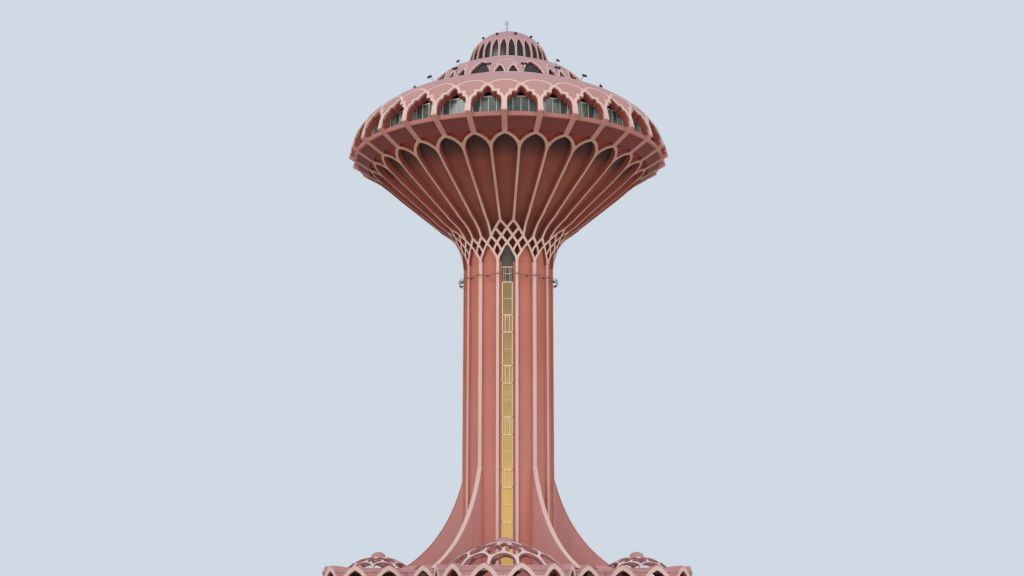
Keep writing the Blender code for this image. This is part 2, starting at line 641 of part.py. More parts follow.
def link_mesh(near, far, near_azimuth, far_azimuth):
    """A straight corridor between two pavilions: two arched walls and a flat roof, folded from one sheet."""
    near_at = Vector(pavilion_centre(near, near_azimuth))
    far_at = Vector(pavilion_centre(far, far_azimuth))
    run = (far_at - near_at).normalized()
    outward = Vector((run.y, -run.x))
    near_heading = degrees(atan2(run.x, -run.y)) - near_azimuth
    far_heading = degrees(atan2(-run.x, run.y)) - far_azimuth
    span = (far_at - near_at).length
    line = SideLine([(LINK_HALF, 0), (LINK_HALF, EAVES), (-LINK_HALF, EAVES), (-LINK_HALF, 0)])

    def start(aside):
        return reach_of(near, near_heading, -aside)

    def end(aside):
        return span - reach_of(far, far_heading, aside)

    rear_share = 1 - ARCADE_WALL / LINK_HALF
    edges = [0.0, EAVES]
    corner_asides = []
    for size, heading, sign in ((near, near_heading, -1), (far, far_heading, 1)):
        bay = 360 / size["bays"]
        for index in range(size["bays"]):
            lean = index * bay - heading
            aside = sign * size["radius"] * sin(radians(lean))
            for spread in (1, 1 / rear_share):
                if cos(radians(lean)) > 0 and abs(aside * spread) < LINK_HALF:
                    corner_asides.append(aside * spread)
    edges += [EAVES + LINK_HALF - aside for aside in sorted(corner_asides, reverse=True)]
    edges += [EAVES + 2 * LINK_HALF, 2 * EAVES + 2 * LINK_HALF]

    def aside_at(along):
        return min(max(LINK_HALF + EAVES - along, -LINK_HALF), LINK_HALF)

    def least(along, limit, pick):
        """The tighter of the sheet's two faces sets its end."""
        aside = aside_at(along)
        return pick(limit(aside), limit(aside * rear_share))

    outline = [(least(along, start, max), along) for along in edges]
    outline += [(least(along, end, min), along) for along in reversed(edges)]
    low, high = start(LINK_HALF), end(LINK_HALF)
    middle = (low + high) / 2
    passage = arch(min(ARCADE_HALF, (high - low) / 2 - ARCADE_WALL))
    holes = [[(middle + x, z) for x, z in passage], [(middle + x, line.length - z) for x, z in passage]]
    folds = [((-1, EAVES), (span + 1, EAVES)), ((-1, EAVES + 2 * LINK_HALF), (span + 1, EAVES + 2 * LINK_HALF))]

    def place(across, along, back):
        point = line.at(along, -ARCADE_WALL if back else 0.0)
        spot = near_at + run * across + outward * point.x
        return Vector((spot.x, spot.y, point.y))

    return pierced_sheet(outline, holes, folds, place)


def links(pink):
    for index, (near, far) in enumerate(NEIGHBOURS):
        mesh = link_mesh(near, far, index * SECTOR, (index + 1) % SECTORS * SECTOR)
        add(f"link_arcade_{index + 1}", mesh, pink)


def build_tower():
    clear_scene()
    pink = paint("pink render", (0.45, 0.17, 0.13), 0.85)
    pale = paint("pale trim", (0.72, 0.52, 0.47), 0.8)
    mauve = paint("mauve roof render", (0.52, 0.30, 0.29), 0.8)
    glass = paint("tinted glass", (0.05, 0.07, 0.07), 0.15)
    gold = paint("gold glass", (0.55, 0.38, 0.12), 0.25)
    steel = paint("dark painted steel", (0.05, 0.045, 0.045), 0.5)
    shaft(pink, gold)
    fins(pink)
    bowl(pink, pale)
    gallery(pink, glass)
    roof(mauve)
    upper_tier(mauve, glass)
    lantern(mauve, glass)
    mast(steel)
    service_ring(steel)
    pavilions(mauve, pale)
    links(mauve)


build_tower()
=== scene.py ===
# Looks of the ribbed water tower, a 1:10 model in metres: painted render, pale ribs, gold lift glass, a
# window gallery, lattice domes and floodlights. Azimuths are in degrees from the front (-Y), towards +X.
from math import asin, atan2, cos, degrees, pi, radians, sin

import bmesh
import bpy
from mathutils import Matrix, Vector
from mathutils.geometry import delaunay_2d_cdt, interpolate_bezier


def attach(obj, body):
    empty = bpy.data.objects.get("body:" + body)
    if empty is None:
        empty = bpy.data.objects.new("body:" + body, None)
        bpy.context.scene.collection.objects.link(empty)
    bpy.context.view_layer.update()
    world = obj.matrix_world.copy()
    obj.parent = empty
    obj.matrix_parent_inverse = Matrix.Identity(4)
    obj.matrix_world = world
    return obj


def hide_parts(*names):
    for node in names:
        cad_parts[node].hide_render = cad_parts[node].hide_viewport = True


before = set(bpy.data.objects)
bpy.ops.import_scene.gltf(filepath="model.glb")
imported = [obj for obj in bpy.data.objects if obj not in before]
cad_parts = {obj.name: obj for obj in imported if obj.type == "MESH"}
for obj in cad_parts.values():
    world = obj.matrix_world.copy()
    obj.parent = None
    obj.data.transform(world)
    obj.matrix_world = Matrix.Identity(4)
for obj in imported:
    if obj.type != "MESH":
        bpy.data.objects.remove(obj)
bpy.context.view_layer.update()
five = range(1, 6)
sector = 72             # degrees from one fin to the next
bayStep = 12            # degrees from one gallery pier to the next
modelScale = 10         # the real building is ten times as large
weld = 2e-5             # points closer than this are merged where ring segments meet
print("frame loaded:", len(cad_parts), "nodes")


# Materials. Pattern sizes are real millimetres on the full-size building, so the model shows a tenth of them.
def hexToLinear(code):
    parts = [int(code[i:i + 2], 16) / 255 for i in (1, 3, 5)]
    return tuple(c / 12.92 if c <= 0.04045 else ((c + 0.055) / 1.055) ** 2.4 for c in parts) + (1.0,)


def perMetre(realMm):
    return 1000 * modelScale / realMm   # noise cells in a metre of the model for a feature of this real size


def addNode(tree, kind, settings=None, links=None):
    node = tree.nodes.new(kind)
    for key, value in (settings or {}).items():
        if isinstance(key, int) or key in node.inputs:
            node.inputs[key].default_value = value
        else:
            setattr(node, key, value)
    for key, socket in (links or {}).items():
        tree.links.new(socket, node.inputs[key])
    return node


def newMaterial(name):
    material = bpy.data.materials.new(name)
    material.use_nodes = True
    tree = material.node_tree
    tree.nodes.clear()
    shader = addNode(tree, "ShaderNodeBsdfPrincipled")
    addNode(tree, "ShaderNodeOutputMaterial", {}, {"Surface": shader.outputs["BSDF"]})
    return material, tree, shader


def setRamp(ramp, stops):
    while len(ramp.elements) < len(stops):
        ramp.elements.new(1.0)
    for element, (place, code) in zip(ramp.elements, stops):
        element.position = place
        element.color = hexToLinear(code)


mixA, mixB, mixResult = 6, 7, 2     # the Mix node's colour sockets, which share their names with its others
paintDefaults = {
    "stain": "#5A3B36",     # dust and water marks that run down the walls
    "stainShare": 0.22,
    "fade": "#D9B7AE",      # sun-bleached patches
    "fadeShare": 0.25,
    "patchMm": 9000,        # how far apart the patches lie on the real wall
    "streakMm": 1400,
    "streakStretch": (1.0, 1.0, 0.09),
    "grainMm": 60,          # roller-coated render; real grain is 2 mm, drawn coarser so that it shows
    "bump": 0.25,
    "bumpDepth": 0.002,
    "roughness": 0.82,
    "roughSpread": 0.08,
    "ior": 1.45,
    "heights": None,        # colours that change with height, as (metres, colour) pairs; on the bowl they are painted shade
}


def paintedRender(name, base, **changes):
    # Roller-painted cement render: matt, a little chalky, with run marks under every ledge.
    look = {**paintDefaults, **changes}
    material, tree, shader = newMaterial(name)
    spot = addNode(tree, "ShaderNodeTexCoord").outputs["Object"]
    patch = addNode(tree, "ShaderNodeTexNoise",
                    {"Scale": perMetre(look["patchMm"]), "Detail": 5.0, "Roughness": 0.6}, {"Vector": spot})
    stretch = addNode(tree, "ShaderNodeMapping", {"Scale": look["streakStretch"]}, {"Vector": spot})
    streak = addNode(tree, "ShaderNodeTexNoise",
                     {"Scale": perMetre(look["streakMm"]), "Detail": 6.0, "Roughness": 0.65},
                     {"Vector": stretch.outputs["Vector"]})
    grain = addNode(tree, "ShaderNodeTexNoise", {"Scale": perMetre(look["grainMm"]), "Detail": 3.0},
                    {"Vector": spot})
    fadeMask = addNode(tree, "ShaderNodeMapRange",
                       {"From Min": 0.45, "From Max": 0.75, "To Max": look["fadeShare"]},
                       {"Value": patch.outputs["Fac"]})
    faded = addNode(tree, "ShaderNodeMix", {"data_type": "RGBA"}, {"Factor": fadeMask.outputs["Result"]})
    faded.inputs[mixA].default_value = hexToLinear(base)
    # a colour ramp by height; for the bowl's ribs and flutes it paints shade
    if look["heights"]:
        low, high = look["heights"][0][0], look["heights"][-1][0]
        height = addNode(tree, "ShaderNodeSeparateXYZ", {}, {"Vector": spot})
        share = addNode(tree, "ShaderNodeMapRange", {"From Min": low, "From Max": high},
                        {"Value": height.outputs["Z"]})
        coat = addNode(tree, "ShaderNodeValToRGB", {}, {"Fac": share.outputs["Result"]})
        setRamp(coat.color_ramp, [((z - low) / (high - low), code) for z, code in look["heights"]])
        tree.links.new(coat.outputs["Color"], faded.inputs[mixA])
    faded.inputs[mixB].default_value = hexToLinear(look["fade"])
    stainMask = addNode(tree, "ShaderNodeMapRange",
                        {"From Min": 0.52, "From Max": 0.80, "To Max": look["stainShare"]},
                        {"Value": streak.outputs["Fac"]})
    stained = addNode(tree, "ShaderNodeMix", {"data_type": "RGBA"}, {"Factor": stainMask.outputs["Result"]})
    tree.links.new(faded.outputs[mixResult], stained.inputs[mixA])
    stained.inputs[mixB].default_value = hexToLinear(look["stain"])
    tree.links.new(stained.outputs[mixResult], shader.inputs["Base Color"])
    rough = addNode(tree, "ShaderNodeMapRange",
                    {"To Min": look["roughness"] - look["roughSpread"],
                     "To Max": look["roughness"] + look["roughSpread"]}, {"Value": grain.outputs["Fac"]})
    tree.links.new(rough.outputs["Result"], shader.inputs["Roughness"])
    bump = addNode(tree, "ShaderNodeBump", {"Strength": look["bump"], "Distance": look["bumpDepth"]},
                   {"Height": grain.outputs["Fac"]})
    tree.links.new(bump.outputs["Normal"], shader.inputs["Normal"])
    shader.inputs["IOR"].default_value = look["ior"]
    return material


def tintedGlass(name, stops, low, high, paneMm, roughness, coat=0.4):
    # Solar-control glass: a tinted, reflective sheet whose tone changes with height and from pane to pane.
    material, tree, shader = newMaterial(name)
    spot = addNode(tree, "ShaderNodeTexCoord").outputs["Object"]
    parts = addNode(tree, "ShaderNodeSeparateXYZ", {}, {"Vector": spot})
    rise = addNode(tree, "ShaderNodeMapRange", {"From Min": low, "From Max": high},
                   {"Value": parts.outputs["Z"]})
    cell = addNode(tree, "ShaderNodeTexVoronoi", {"Scale": perMetre(paneMm), "Randomness": 0.6},
                   {"Vector": spot})
    shift = addNode(tree, "ShaderNodeMath", {"operation": "MULTIPLY_ADD", 1: 0.16},
                    {0: cell.outputs["Distance"], 2: rise.outputs["Result"]})
    ramp = addNode(tree, "ShaderNodeValToRGB", {}, {"Fac": shift.outputs["Value"]})
    setRamp(ramp.color_ramp, stops)
    tree.links.new(ramp.outputs["Color"], shader.inputs["Base Color"])
    shader.inputs["Roughness"].default_value = roughness
    shader.inputs["IOR"].default_value = 1.52
    shader.inputs["Coat Weight"].default_value = coat
    return material


def paintedSteel(name, base, wear, roughness=0.45):
    # Alkyd-painted steel: an even satin coat, rubbed a little lighter where the noise says.
    material, tree, shader = newMaterial(name)
    spot = addNode(tree, "ShaderNodeTexCoord").outputs["Object"]
    noise = addNode(tree, "ShaderNodeTexNoise", {"Scale": perMetre(400), "Detail": 4.0}, {"Vector": spot})
    ramp = addNode(tree, "ShaderNodeValToRGB", {}, {"Fac": noise.outputs["Fac"]})
    setRamp(ramp.color_ramp, [(0.45, base), (0.8, wear)])
    tree.links.new(ramp.outputs["Color"], shader.inputs["Base Color"])
    shader.inputs["Roughness"].default_value = roughness
    return material


finish = {
    # rose masonry paint on the shaft: a chalky warm pink, lighter and paler towards its foot
    "pinkRender": paintedRender("pinkPaintedRender", "#BD6C5B", fade="#D0907F",
                                heights=((1.0, "#CA8070"), (2.5, "#C17768"), (4.2, "#BD6C5B"))),
    # a cooler, paler rose on the fins' broad faces, so they part from the shaft behind them
    "finRender": paintedRender("finPaintedRender", "#C98A82", fade="#D2A39B"),
    # sand-pink masonry paint: the light lines that draw every rib, arch and edge
    "paleTrim": paintedRender("palePaintedTrim", "#D9B5A9", fade="#EBD6CE", stain="#A98A7F", stainShare=0.3),
    # the same paint on the bowl's ribs, with painted shade that turns them duller and tanner the further they
    # lean out under the bowl
    "soffitTrim": paintedRender("bowlRibPaintAndShade", "#DDB6A5", fade="#E2C8BA", stain="#93705F", stainShare=0.3,
                                heights=((5.4, "#DDB6A5"), (5.95, "#BD927C"), (6.66, "#B2826F"))),
    # brick red on the ribs' sides: painted shade, which gives each pale rib a dark edge
    "ribSide": paintedRender("bowlRibSideShade", "#97493C", fade="#A65B4D", stain="#5A2E26"),
    # red-brown paint in the bowl's flutes, with painted shadow under the fascia that goes near black at their
    # tips: the ribs seem to stand far proud of it
    "soffit": paintedRender("bowlSoffitPaintAndShadow", "#84453A", fade="#8F5142", fadeShare=0.15, stain="#3A1F1A",
                            stainShare=0.35,
                            heights=((5.5, "#76402F"), (6.05, "#8D4B37"), (6.40, "#7E3D2A"),
                                     (6.55, "#43211A"), (6.68, "#22130F"))),
    # deep orange-red between the arches' shoulders and the gallery
    "spandrel": paintedRender("spandrelPaint", "#87362A", fade="#964638"),
    # dull oxide red on the sloping fascia, nearly in shadow
    "fascia": paintedRender("fasciaPaint", "#6F3129", fade="#7C4036"),
    # a lighter dusty red that makes the sill a thin bright line
    "sill": paintedRender("sillPaint", "#AC6E62", fade="#B98074"),
    # mauve-pink on the piers' undersides, between the sill's red and the trim's sand
    "pier": paintedRender("pierPaint", "#B97D73", fade="#C49186"),
    # mauve-pink roof paint, warm at the windows and greyer where the roof turns upwards
    "roofRender": paintedRender("roofPaint", "#B98C8B", fade="#C6A19F", stain="#8A6764", stainShare=0.3,
                                heights=((6.9, "#BA8178"), (7.35, "#BA8780"), (7.75, "#B68E8F"),
                                         (8.9, "#AF888A"))),
    # oxide red in the windows' reveals, which outlines the glass
    "reveal": paintedRender("windowRevealPaint", "#93443A", fade="#A0574B"),
    # dusty mauve-pink on the arcades, paler where dust lies
    "arcadeRender": paintedRender("arcadePaint", "#B98381", fade="#C99D99"),
    # maroon painted shade inside the arcades and under their roofs, so that the arches read as dark mouths
    "hallPaintedShade": paintedRender("hallMaroonPaintedShade", "#5B2A26", fade="#6B3832", stain="#2E1614"),
    # lilac-white on the faces of the domes' bars, the lightest paint on the building
    "domeRender": paintedRender("latticePaint", "#D9BBB8", fade="#E4CFCB", stain="#A08280"),
    # old rose on the bars' sides and undersides: painted shade, which gives the lattice its depth
    "domeInside": paintedRender("latticeShade", "#A76C68", fade="#B58580"),
    # steel-trowelled concrete: grey, smooth in the large and blotched by damp
    "floorConcrete": paintedRender("trowelledConcrete", "#8D8780", fade="#A39D95", stain="#5E5A55"),
    # gold-coated glass: bright yellow at the foot, dulling to bronze higher up
    "goldGlass": tintedGlass("goldSolarGlass", [(0.0, "#FBC948"), (0.3, "#E8BC55"), (0.62, "#C09C56"),
                                                (0.85, "#9E8452"), (1.0, "#8A7548")], 0.0, 5.05, 2500, 0.25),
    # olive glass over the lift's head, almost black against the pale lattice
    "headGlass": tintedGlass("oliveSolarGlass", [(0.0, "#5A5242"), (1.0, "#3A352B")], 4.8, 5.4, 1500, 0.2),
    # grey-green glass in the gallery, lighter near its head with a painted reflection
    "galleryGlass": tintedGlass("greySolarGlass", [(0.0, "#3E5148"), (0.5, "#56645A"), (1.0, "#6C776C")],
                                6.86, 7.2, 1250, 0.3),
    # near-black glass in the upper tier and the lantern, uncoated so that it hardly shines
    "darkGlass": tintedGlass("darkSolarGlass", [(0.0, "#211E21"), (0.6, "#1A181B"), (1.0, "#121114")],
                             7.8, 8.9, 1200, 0.35, 0.0),
    # ivory powder coat: crisp light lines between the panes
    "mullion": paintedSteel("powderCoatedMullion", "#E2D8CE", "#EBE4DC"),
    # champagne lacquer, a little glossier, which ties the lift's frame to its gold glass
    "liftFrame": paintedSteel("champagneFrame", "#F4D6AA", "#FAE3C2", 0.35),
    # black gloss gone satin on lamps, mast and hoops: small sharp silhouettes
    "darkSteel": paintedSteel("blackPaintedSteel", "#231F1E", "#3A3433"),
    # red-brown on the service ring and thin posts, so they fade into the wall
    "railSteel": paintedSteel("brownPaintedSteel", "#4A322D", "#6A4A42"),
}
print("materials made:", len(finish))


# Shapes shared by the pieces
def bezier(start, first, second, end, steps):
    corners = [Vector((a, b, 0)) for a, b in (start, first, second, end)]
    return [(p.x, p.y) for p in interpolate_bezier(*corners, steps + 1)]


class SideLine:     # a shell's side line, (out, up) from its foot, with offsets square to it
    def __init__(self, points, footCut=None, headCut=None):
        self.points = [Vector(p) for p in points]
        self.along = [0.0]
        faces = []
        for low, high in zip(self.points, self.points[1:]):
            step = high - low
            self.along.append(self.along[-1] + step.length)
            faces.append(Vector((step.y, -step.x)).normalized())
        self.out = []
        for i in range(len(self.points)):
            mitre = (faces[max(i - 1, 0)] + faces[min(i, len(faces) - 1)]).normalized()
            self.out.append(mitre / mitre.dot(faces[min(i, len(faces) - 1)]))
        if footCut:
            self.out[0] = Vector(footCut) / Vector(footCut).dot(faces[0])
        if headCut:
            self.out[-1] = Vector(headCut) / Vector(headCut).dot(faces[-1])
        self.length = self.along[-1]

    def at(self, along, offset=0.0):        # the point at a length along the line
        i = 0
        while i < len(self.along) - 2 and along > self.along[i + 1]:
            i += 1
        part = (along - self.along[i]) / (self.along[i + 1] - self.along[i])
        near, far = self.points[i] + self.out[i] * offset, self.points[i + 1] + self.out[i + 1] * offset
        return near.lerp(far, part)

    def reach(self, height):                # the length along the line at which it comes to a height
        if height <= self.points[0].y:
            return height - self.points[0].y
        for i in range(len(self.points) - 1):
            low, high = self.points[i].y, self.points[i + 1].y
            if low <= height <= high and high > low:
                return self.along[i] + (height - low) / (high - low) * (self.along[i + 1] - self.along[i])
        return self.length + height - self.points[-1].y


def roundAt(radius, height, azimuth):
    return Vector((radius * sin(radians(azimuth)), -radius * cos(radians(azimuth)), height))


def isInside(x, y, loop):
    hit = False
    for (ax, ay), (bx, by) in zip(loop, loop[1:] + loop[:1]):
        if (ay > y) != (by > y) and x < (bx - ax) * (y - ay) / (by - ay) + ax:
            hit = not hit
    return hit


def boxed(loops):       # each loop with its bounds, so that most points are ruled out quickly
    boxes = []
    for loop in loops:
        across, up = [p[0] for p in loop], [p[1] for p in loop]
        boxes.append((min(across), max(across), min(up), max(up), loop))
    return boxes


def hits(x, y, boxes):
    return any(a <= x <= b and c <= y <= d and isInside(x, y, loop) for a, b, c, d, loop in boxes)


def sheet(keep, cut, folds, place, scale=1.0, ends=None, pole=None):
    # A solid sheet from a flat pattern: inside any keep loop, outside every cut loop, folded on the folds.
    # Faces get material 0 in front, 1 on the edges and 2 behind. ends are across values, and pole is a
    # height, where the edge is left open so that neighbours can be merged.
    points, edges = [], []
    for loop in keep + cut:
        first = len(points)
        points += [Vector((x * scale, y)) for x, y in loop]
        edges += [(first + i, first + (i + 1) % len(loop)) for i in range(len(loop))]
    for start, end in folds:
        edges.append((len(points), len(points) + 1))
        points += [Vector((start[0] * scale, start[1])), Vector((end[0] * scale, end[1]))]
    flat, _, triangles, _, _, _ = delaunay_2d_cdt(points, edges, [], 0, 1e-6)
    pattern = [(p.x / scale, p.y) for p in flat]
    keepBoxes, cutBoxes = boxed(keep), boxed(cut)
    kept = []
    for t in triangles:
        x = sum(pattern[i][0] for i in t) / 3
        y = sum(pattern[i][1] for i in t) / 3
        if hits(x, y, keepBoxes) and not hits(x, y, cutBoxes):
            kept.append(tuple(t))
    sides = {(a, b) for t in kept for a, b in zip(t, t[1:] + t[:1])}
    mesh = bmesh.new()
    front, back = {}, {}
    for i in sorted({i for t in kept for i in t}):
        front[i] = mesh.verts.new(place(*pattern[i], False))
        back[i] = mesh.verts.new(place(*pattern[i], True))
    for t in kept:
        mesh.faces.new([front[i] for i in t]).material_index = 0
        mesh.faces.new([back[i] for i in reversed(t)]).material_index = 2
    for a, b in sorted(sides):
        if (b, a) in sides:
            continue
        onEnd = ends and any(max(abs(pattern[i][0] - x) for i in (a, b)) < 1e-4 for x in ends)
        onPole = pole is not None and max(abs(pattern[i][1] - pole) for i in (a, b)) < 1e-5
        if not onEnd and not onPole:
            mesh.faces.new([front[b], front[a], back[a], back[b]]).material_index = 1
    bmesh.ops.remove_doubles(mesh, verts=mesh.verts[:], dist=2e-6)
    bmesh.ops.delete(mesh, geom=[e for e in mesh.edges if not e.link_faces], context="EDGES")
    return mesh


def shell(line, thickness, span, cut=(), keep=None, depth=0.0, reach=None, step=3.0, openEnds=False,
          pole=False):
    # A round shell over a span of azimuths, depth below its side line. cut and keep: (azimuth, along) loops.
    low, high = span
    foot, head = reach or (0.0, line.length)

    def place(azimuth, along, behind):
        p = line.at(along, -depth - thickness if behind else -depth)
        return roundAt(p.x, p.y, azimuth)

    count = max(1, round((high - low) / step))
    turns = [low + (high - low) * i / count for i in range(1, count)]
    folds = [((turn, foot), (turn, head)) for turn in turns]
    folds += [((low, a), (high, a)) for a in line.along[1:-1] if foot < a < head]
    outline = [(low, foot), (high, foot), (high, head), (low, head)]
    scale = radians(max(p.x for p in line.points))
    return sheet(keep or [outline], list(cut), folds, place, scale, span if openEnds else None,
                 head if pole else None)


def shrink(loop, margin, line):
    # An (azimuth, along) loop drawn in by a margin in metres.
    middle = sum(p[0] for p in loop) / len(loop)
    points = [Vector(((a - middle) * radians(line.at(s).x), s)) for a, s in loop]
    area = sum(a.x * b.y - b.x * a.y for a, b in zip(points, points[1:] + points[:1]))
    turn = 1 if area > 0 else -1
    result = []
    for before, here, after in zip(points[-1:] + points[:-1], points, points[1:] + points[:1]):
        into, onward = (here - before).normalized(), (after - here).normalized()
        normalIn = Vector((-into.y, into.x)) * turn
        mitre = (normalIn + Vector((-onward.y, onward.x)) * turn).normalized()
        moved = here + mitre * (margin / max(mitre.dot(normalIn), 0.3))
        result.append((middle + degrees(moved.x / line.at(moved.y).x), moved.y))
    return result


def onShell(points, middle, start, line):
    # (across, up) metres on a shell's surface as (azimuth, along), from a middle azimuth and a start.
    return [(middle + degrees(x / max(line.at(start + y).x, 0.05)), start + y) for x, y in points]


def mirrored(right):
    # A closed outline from its right half, given from the foot to the tip on the middle line.
    return right + [(-x, y) for x, y in reversed(right[:-1])]


def ogive(half, rise, steps, foot=0.0):
    # The right half of a pointed arch: a round arc from (half, foot) to the tip (0, foot + rise).
    radius = (half * half + rise * rise) / (2 * half)
    sweep = atan2(rise, radius - half)
    return [(half - radius + radius * cos(sweep * i / steps), foot + radius * sin(sweep * i / steps))
            for i in range(steps + 1)]


def around(step, first, last):
    return [first + step * i for i in range(int(round((last - first) / step)) + 1)]


def turned(mesh, azimuth, centre=(0.0, 0.0)):
    copy = mesh.copy()
    move = Matrix.Translation((*centre, 0)) @ Matrix.Rotation(radians(azimuth), 4, "Z")
    bmesh.ops.transform(copy, matrix=move, verts=copy.verts)
    return copy


def joined(meshes, merge=False):
    whole = bmesh.new()
    for part in meshes:
        data = bpy.data.meshes.new("part")
        part.to_mesh(data)
        whole.from_mesh(data)
        bpy.data.meshes.remove(data)
        part.free()
    if merge:
        bmesh.ops.remove_doubles(whole, verts=whole.verts[:], dist=weld)
    return whole


def tenfold(mesh, merge=True):
    # A tenth of the upper tier or the lantern, repeated round the axis.
    return joined([turned(mesh, 36 * i) for i in range(10)], merge)


sharpAngle = 30         # degrees; a flatter edge is shaded smooth


def piece(name, mesh, finishes, slot, replaced=(), azimuth=0.0, centre=(0.0, 0.0)):
    # One object that rides on the root body, from a bmesh turned about its own upright axis. replaced names
    # the CAD nodes that it stands for.
    placed = turned(mesh, azimuth, centre)
    bmesh.ops.recalc_face_normals(placed, faces=placed.faces[:])
    data = bpy.data.meshes.new(name)
    placed.to_mesh(data)
    placed.free()
    for key in finishes:
        data.materials.append(finish[key])
    data.shade_smooth()
    data.set_sharp_from_angle(angle=radians(sharpAngle))
    thing = bpy.data.objects.new(name, data)
    bpy.context.scene.collection.objects.link(thing)
    bpy.context.view_layer.update()
    if replaced:
        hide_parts(*replaced)
    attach(thing, "root")


def fivefold(name, mesh, finishes, slot, node=None, start=0.0):
    # The same piece in each of the tower's five sectors.
    for i in five:
        piece(f"{name}_{i}", mesh, finishes, slot, [f"{node}_{i}"] if node else (), start + (i - 1) * sector)


def block(low, high):
    # A box between two corners, for bars and rails.
    mesh = bmesh.new()
    bmesh.ops.create_cube(mesh, size=1.0)
    size = Vector(high) - Vector(low)
    bmesh.ops.scale(mesh, vec=size, verts=mesh.verts)
    bmesh.ops.translate(mesh, vec=Vector(low) + size / 2, verts=mesh.verts)
    return mesh


def plate(outline, low, high):
    # An (r, z) outline on the front's middle plane as a plate from x = low to high.
    mesh = bmesh.new()
    near = [mesh.verts.new((low, -r, z)) for r, z in outline]
    far = [mesh.verts.new((high, -r, z)) for r, z in outline]
    mesh.faces.new(near)
    mesh.faces.new(far[::-1])
    for i in range(len(outline)):
        j = (i + 1) % len(outline)
        mesh.faces.new([near[j], near[i], far[i], far[j]])
    bmesh.ops.triangulate(mesh, faces=[f for f in mesh.faces if len(f.verts) > 4])
    return mesh


def strip(pairs, low, high):
    # A plate from x = low to high between paired (r, z) points, such as a fin's root and edge.
    mesh = bmesh.new()
    rows = [[mesh.verts.new((x, -r, z)) for r, z in pair for x in (low, high)] for pair in pairs]
    for near, far in zip(rows, rows[1:]):
        for i, j in ((0, 1), (1, 3), (3, 2), (2, 0)):
            mesh.faces.new([near[i], near[j], far[j], far[i]])
    for row in (rows[0], rows[-1]):
        mesh.faces.new([row[0], row[1], row[3], row[2]])
    return mesh


def tube(path, radius, sides=8):
    # A round bar along a path of points.
    mesh = bmesh.new()
    rings = []
    for i, here in enumerate(path):
        forward = (path[min(i + 1, len(path) - 1)] - path[max(i - 1, 0)]).normalized()
        side = forward.cross(Vector((0, 0, 1)))
        side = side.normalized() if side.length > 1e-3 else Vector((1, 0, 0))
        up = side.cross(forward)
        turns = [2 * pi * k / sides for k in range(sides)]
        rings.append([mesh.verts.new(here + (side * cos(a) + up * sin(a)) * radius) for a in turns])
    for near, far in zip(rings, rings[1:]):
        for k in range(sides):
            mesh.faces.new([near[k], near[(k + 1) % sides], far[(k + 1) % sides], far[k]])
    mesh.faces.new(rings[0][::-1])
    mesh.faces.new(rings[-1])
    return mesh


# Camera and studio: the camera stands low in front and looks up, a little to the right of the tower's middle
studio = {"azimuth": 1.4, "distance": 21.75, "height": 0.17, "pitch": 12.15, "lens": 50.98, "turn": 0.146,
          "backdrop": "#DFEAF5", "backdropStrength": 0.85, "floor": "#D8D5CF", "floorHalf": 300,
          "floorDrop": 0.002, "aim": (0, 0, 4.5)}
# each light's place, size in metres and power in watts
studioLights = {"keyLight": ((-14, -22, 20), 14, 3600), "fillLight": ((18, -16, 9), 16, 1350),
                "backLight": ((4, 24, 16), 14, 1400)}


def setStudio():
    camera = bpy.data.objects.new("camera", bpy.data.cameras.new("camera"))
    camera.data.lens = studio["lens"]
    camera.data.sensor_width = 36
    camera.data.clip_end = 200
    camera.location = roundAt(studio["distance"], studio["height"], studio["azimuth"])
    camera.rotation_euler = (radians(90 + studio["pitch"]), 0, radians(studio["azimuth"] - studio["turn"]))
    bpy.context.scene.collection.objects.link(camera)
    bpy.context.scene.camera = camera
    floorMesh = bmesh.new()
    bmesh.ops.create_grid(floorMesh, x_segments=1, y_segments=1, size=studio["floorHalf"])
    data = bpy.data.meshes.new("floor")
    floorMesh.to_mesh(data)
    floorMesh.free()
    material, _, shader = newMaterial("studioFloor")
    shader.inputs["Base Color"].default_value = hexToLinear(studio["floor"])
    shader.inputs["Roughness"].default_value = 0.9
    data.materials.append(material)
    studioFloor = bpy.data.objects.new("floor", data)
    studioFloor.location.z = -studio["floorDrop"]
    bpy.context.scene.collection.objects.link(studioFloor)
    world = bpy.data.worlds.new("studio")
    world.use_nodes = True
    backdrop = world.node_tree.nodes["Background"]
    backdrop.inputs["Color"].default_value = hexToLinear(studio["backdrop"])
    backdrop.inputs["Strength"].default_value = studio["backdropStrength"]
    bpy.context.scene.world = world
    for name, (place, size, energy) in studioLights.items():
        light = bpy.data.objects.new(name, bpy.data.lights.new(name, "AREA"))
        light.data.size = size
        light.data.energy = energy
        light.location = place
        light.rotation_euler = (Vector(studio["aim"]) - Vector(place)).to_track_quat("-Z", "Y").to_euler()
        bpy.context.scene.collection.objects.link(light)
    bpy.context.scene.view_settings.view_transform = "Standard"


setStudio()
print("camera and studio set")

# Fins: flared plates with a pale band on the outer edge, as (radius, height) points
fin = {"thickness": 0.06, "top": (0.6873, 2.066), "handles": ((0.912, 1.020), (1.556, 0.704)),
       "toe": (1.732, 0.6053), "root": 0.675, "foot": 1.322, "band": 0.006, "bandProud": 0.002,
       "bandWidth": 0.074}

# Shaft: fluted wall, pale ribs and the lift's slot. Half widths of ribs, slot and chamfers are in degrees.
shaft = {"r": 0.687, "top": 5.12, "wall": 0.082, "flute": 0.04, "ribStep": 24, "ribHalf": 1.75,
         "finRibHalf": 2.65, "chamfer": 0.25, "ribProud": 0.003, "ribDepth": 0.03, "slotHalf": 7.6,
         "slotLow": 0.05}
halfSector = sector / 2


def ribHalfAt(rib):
    # The ribs above the fins are wider.
    return shaft["finRibHalf"] if abs(rib % sector - halfSector) < 1 else shaft["ribHalf"]


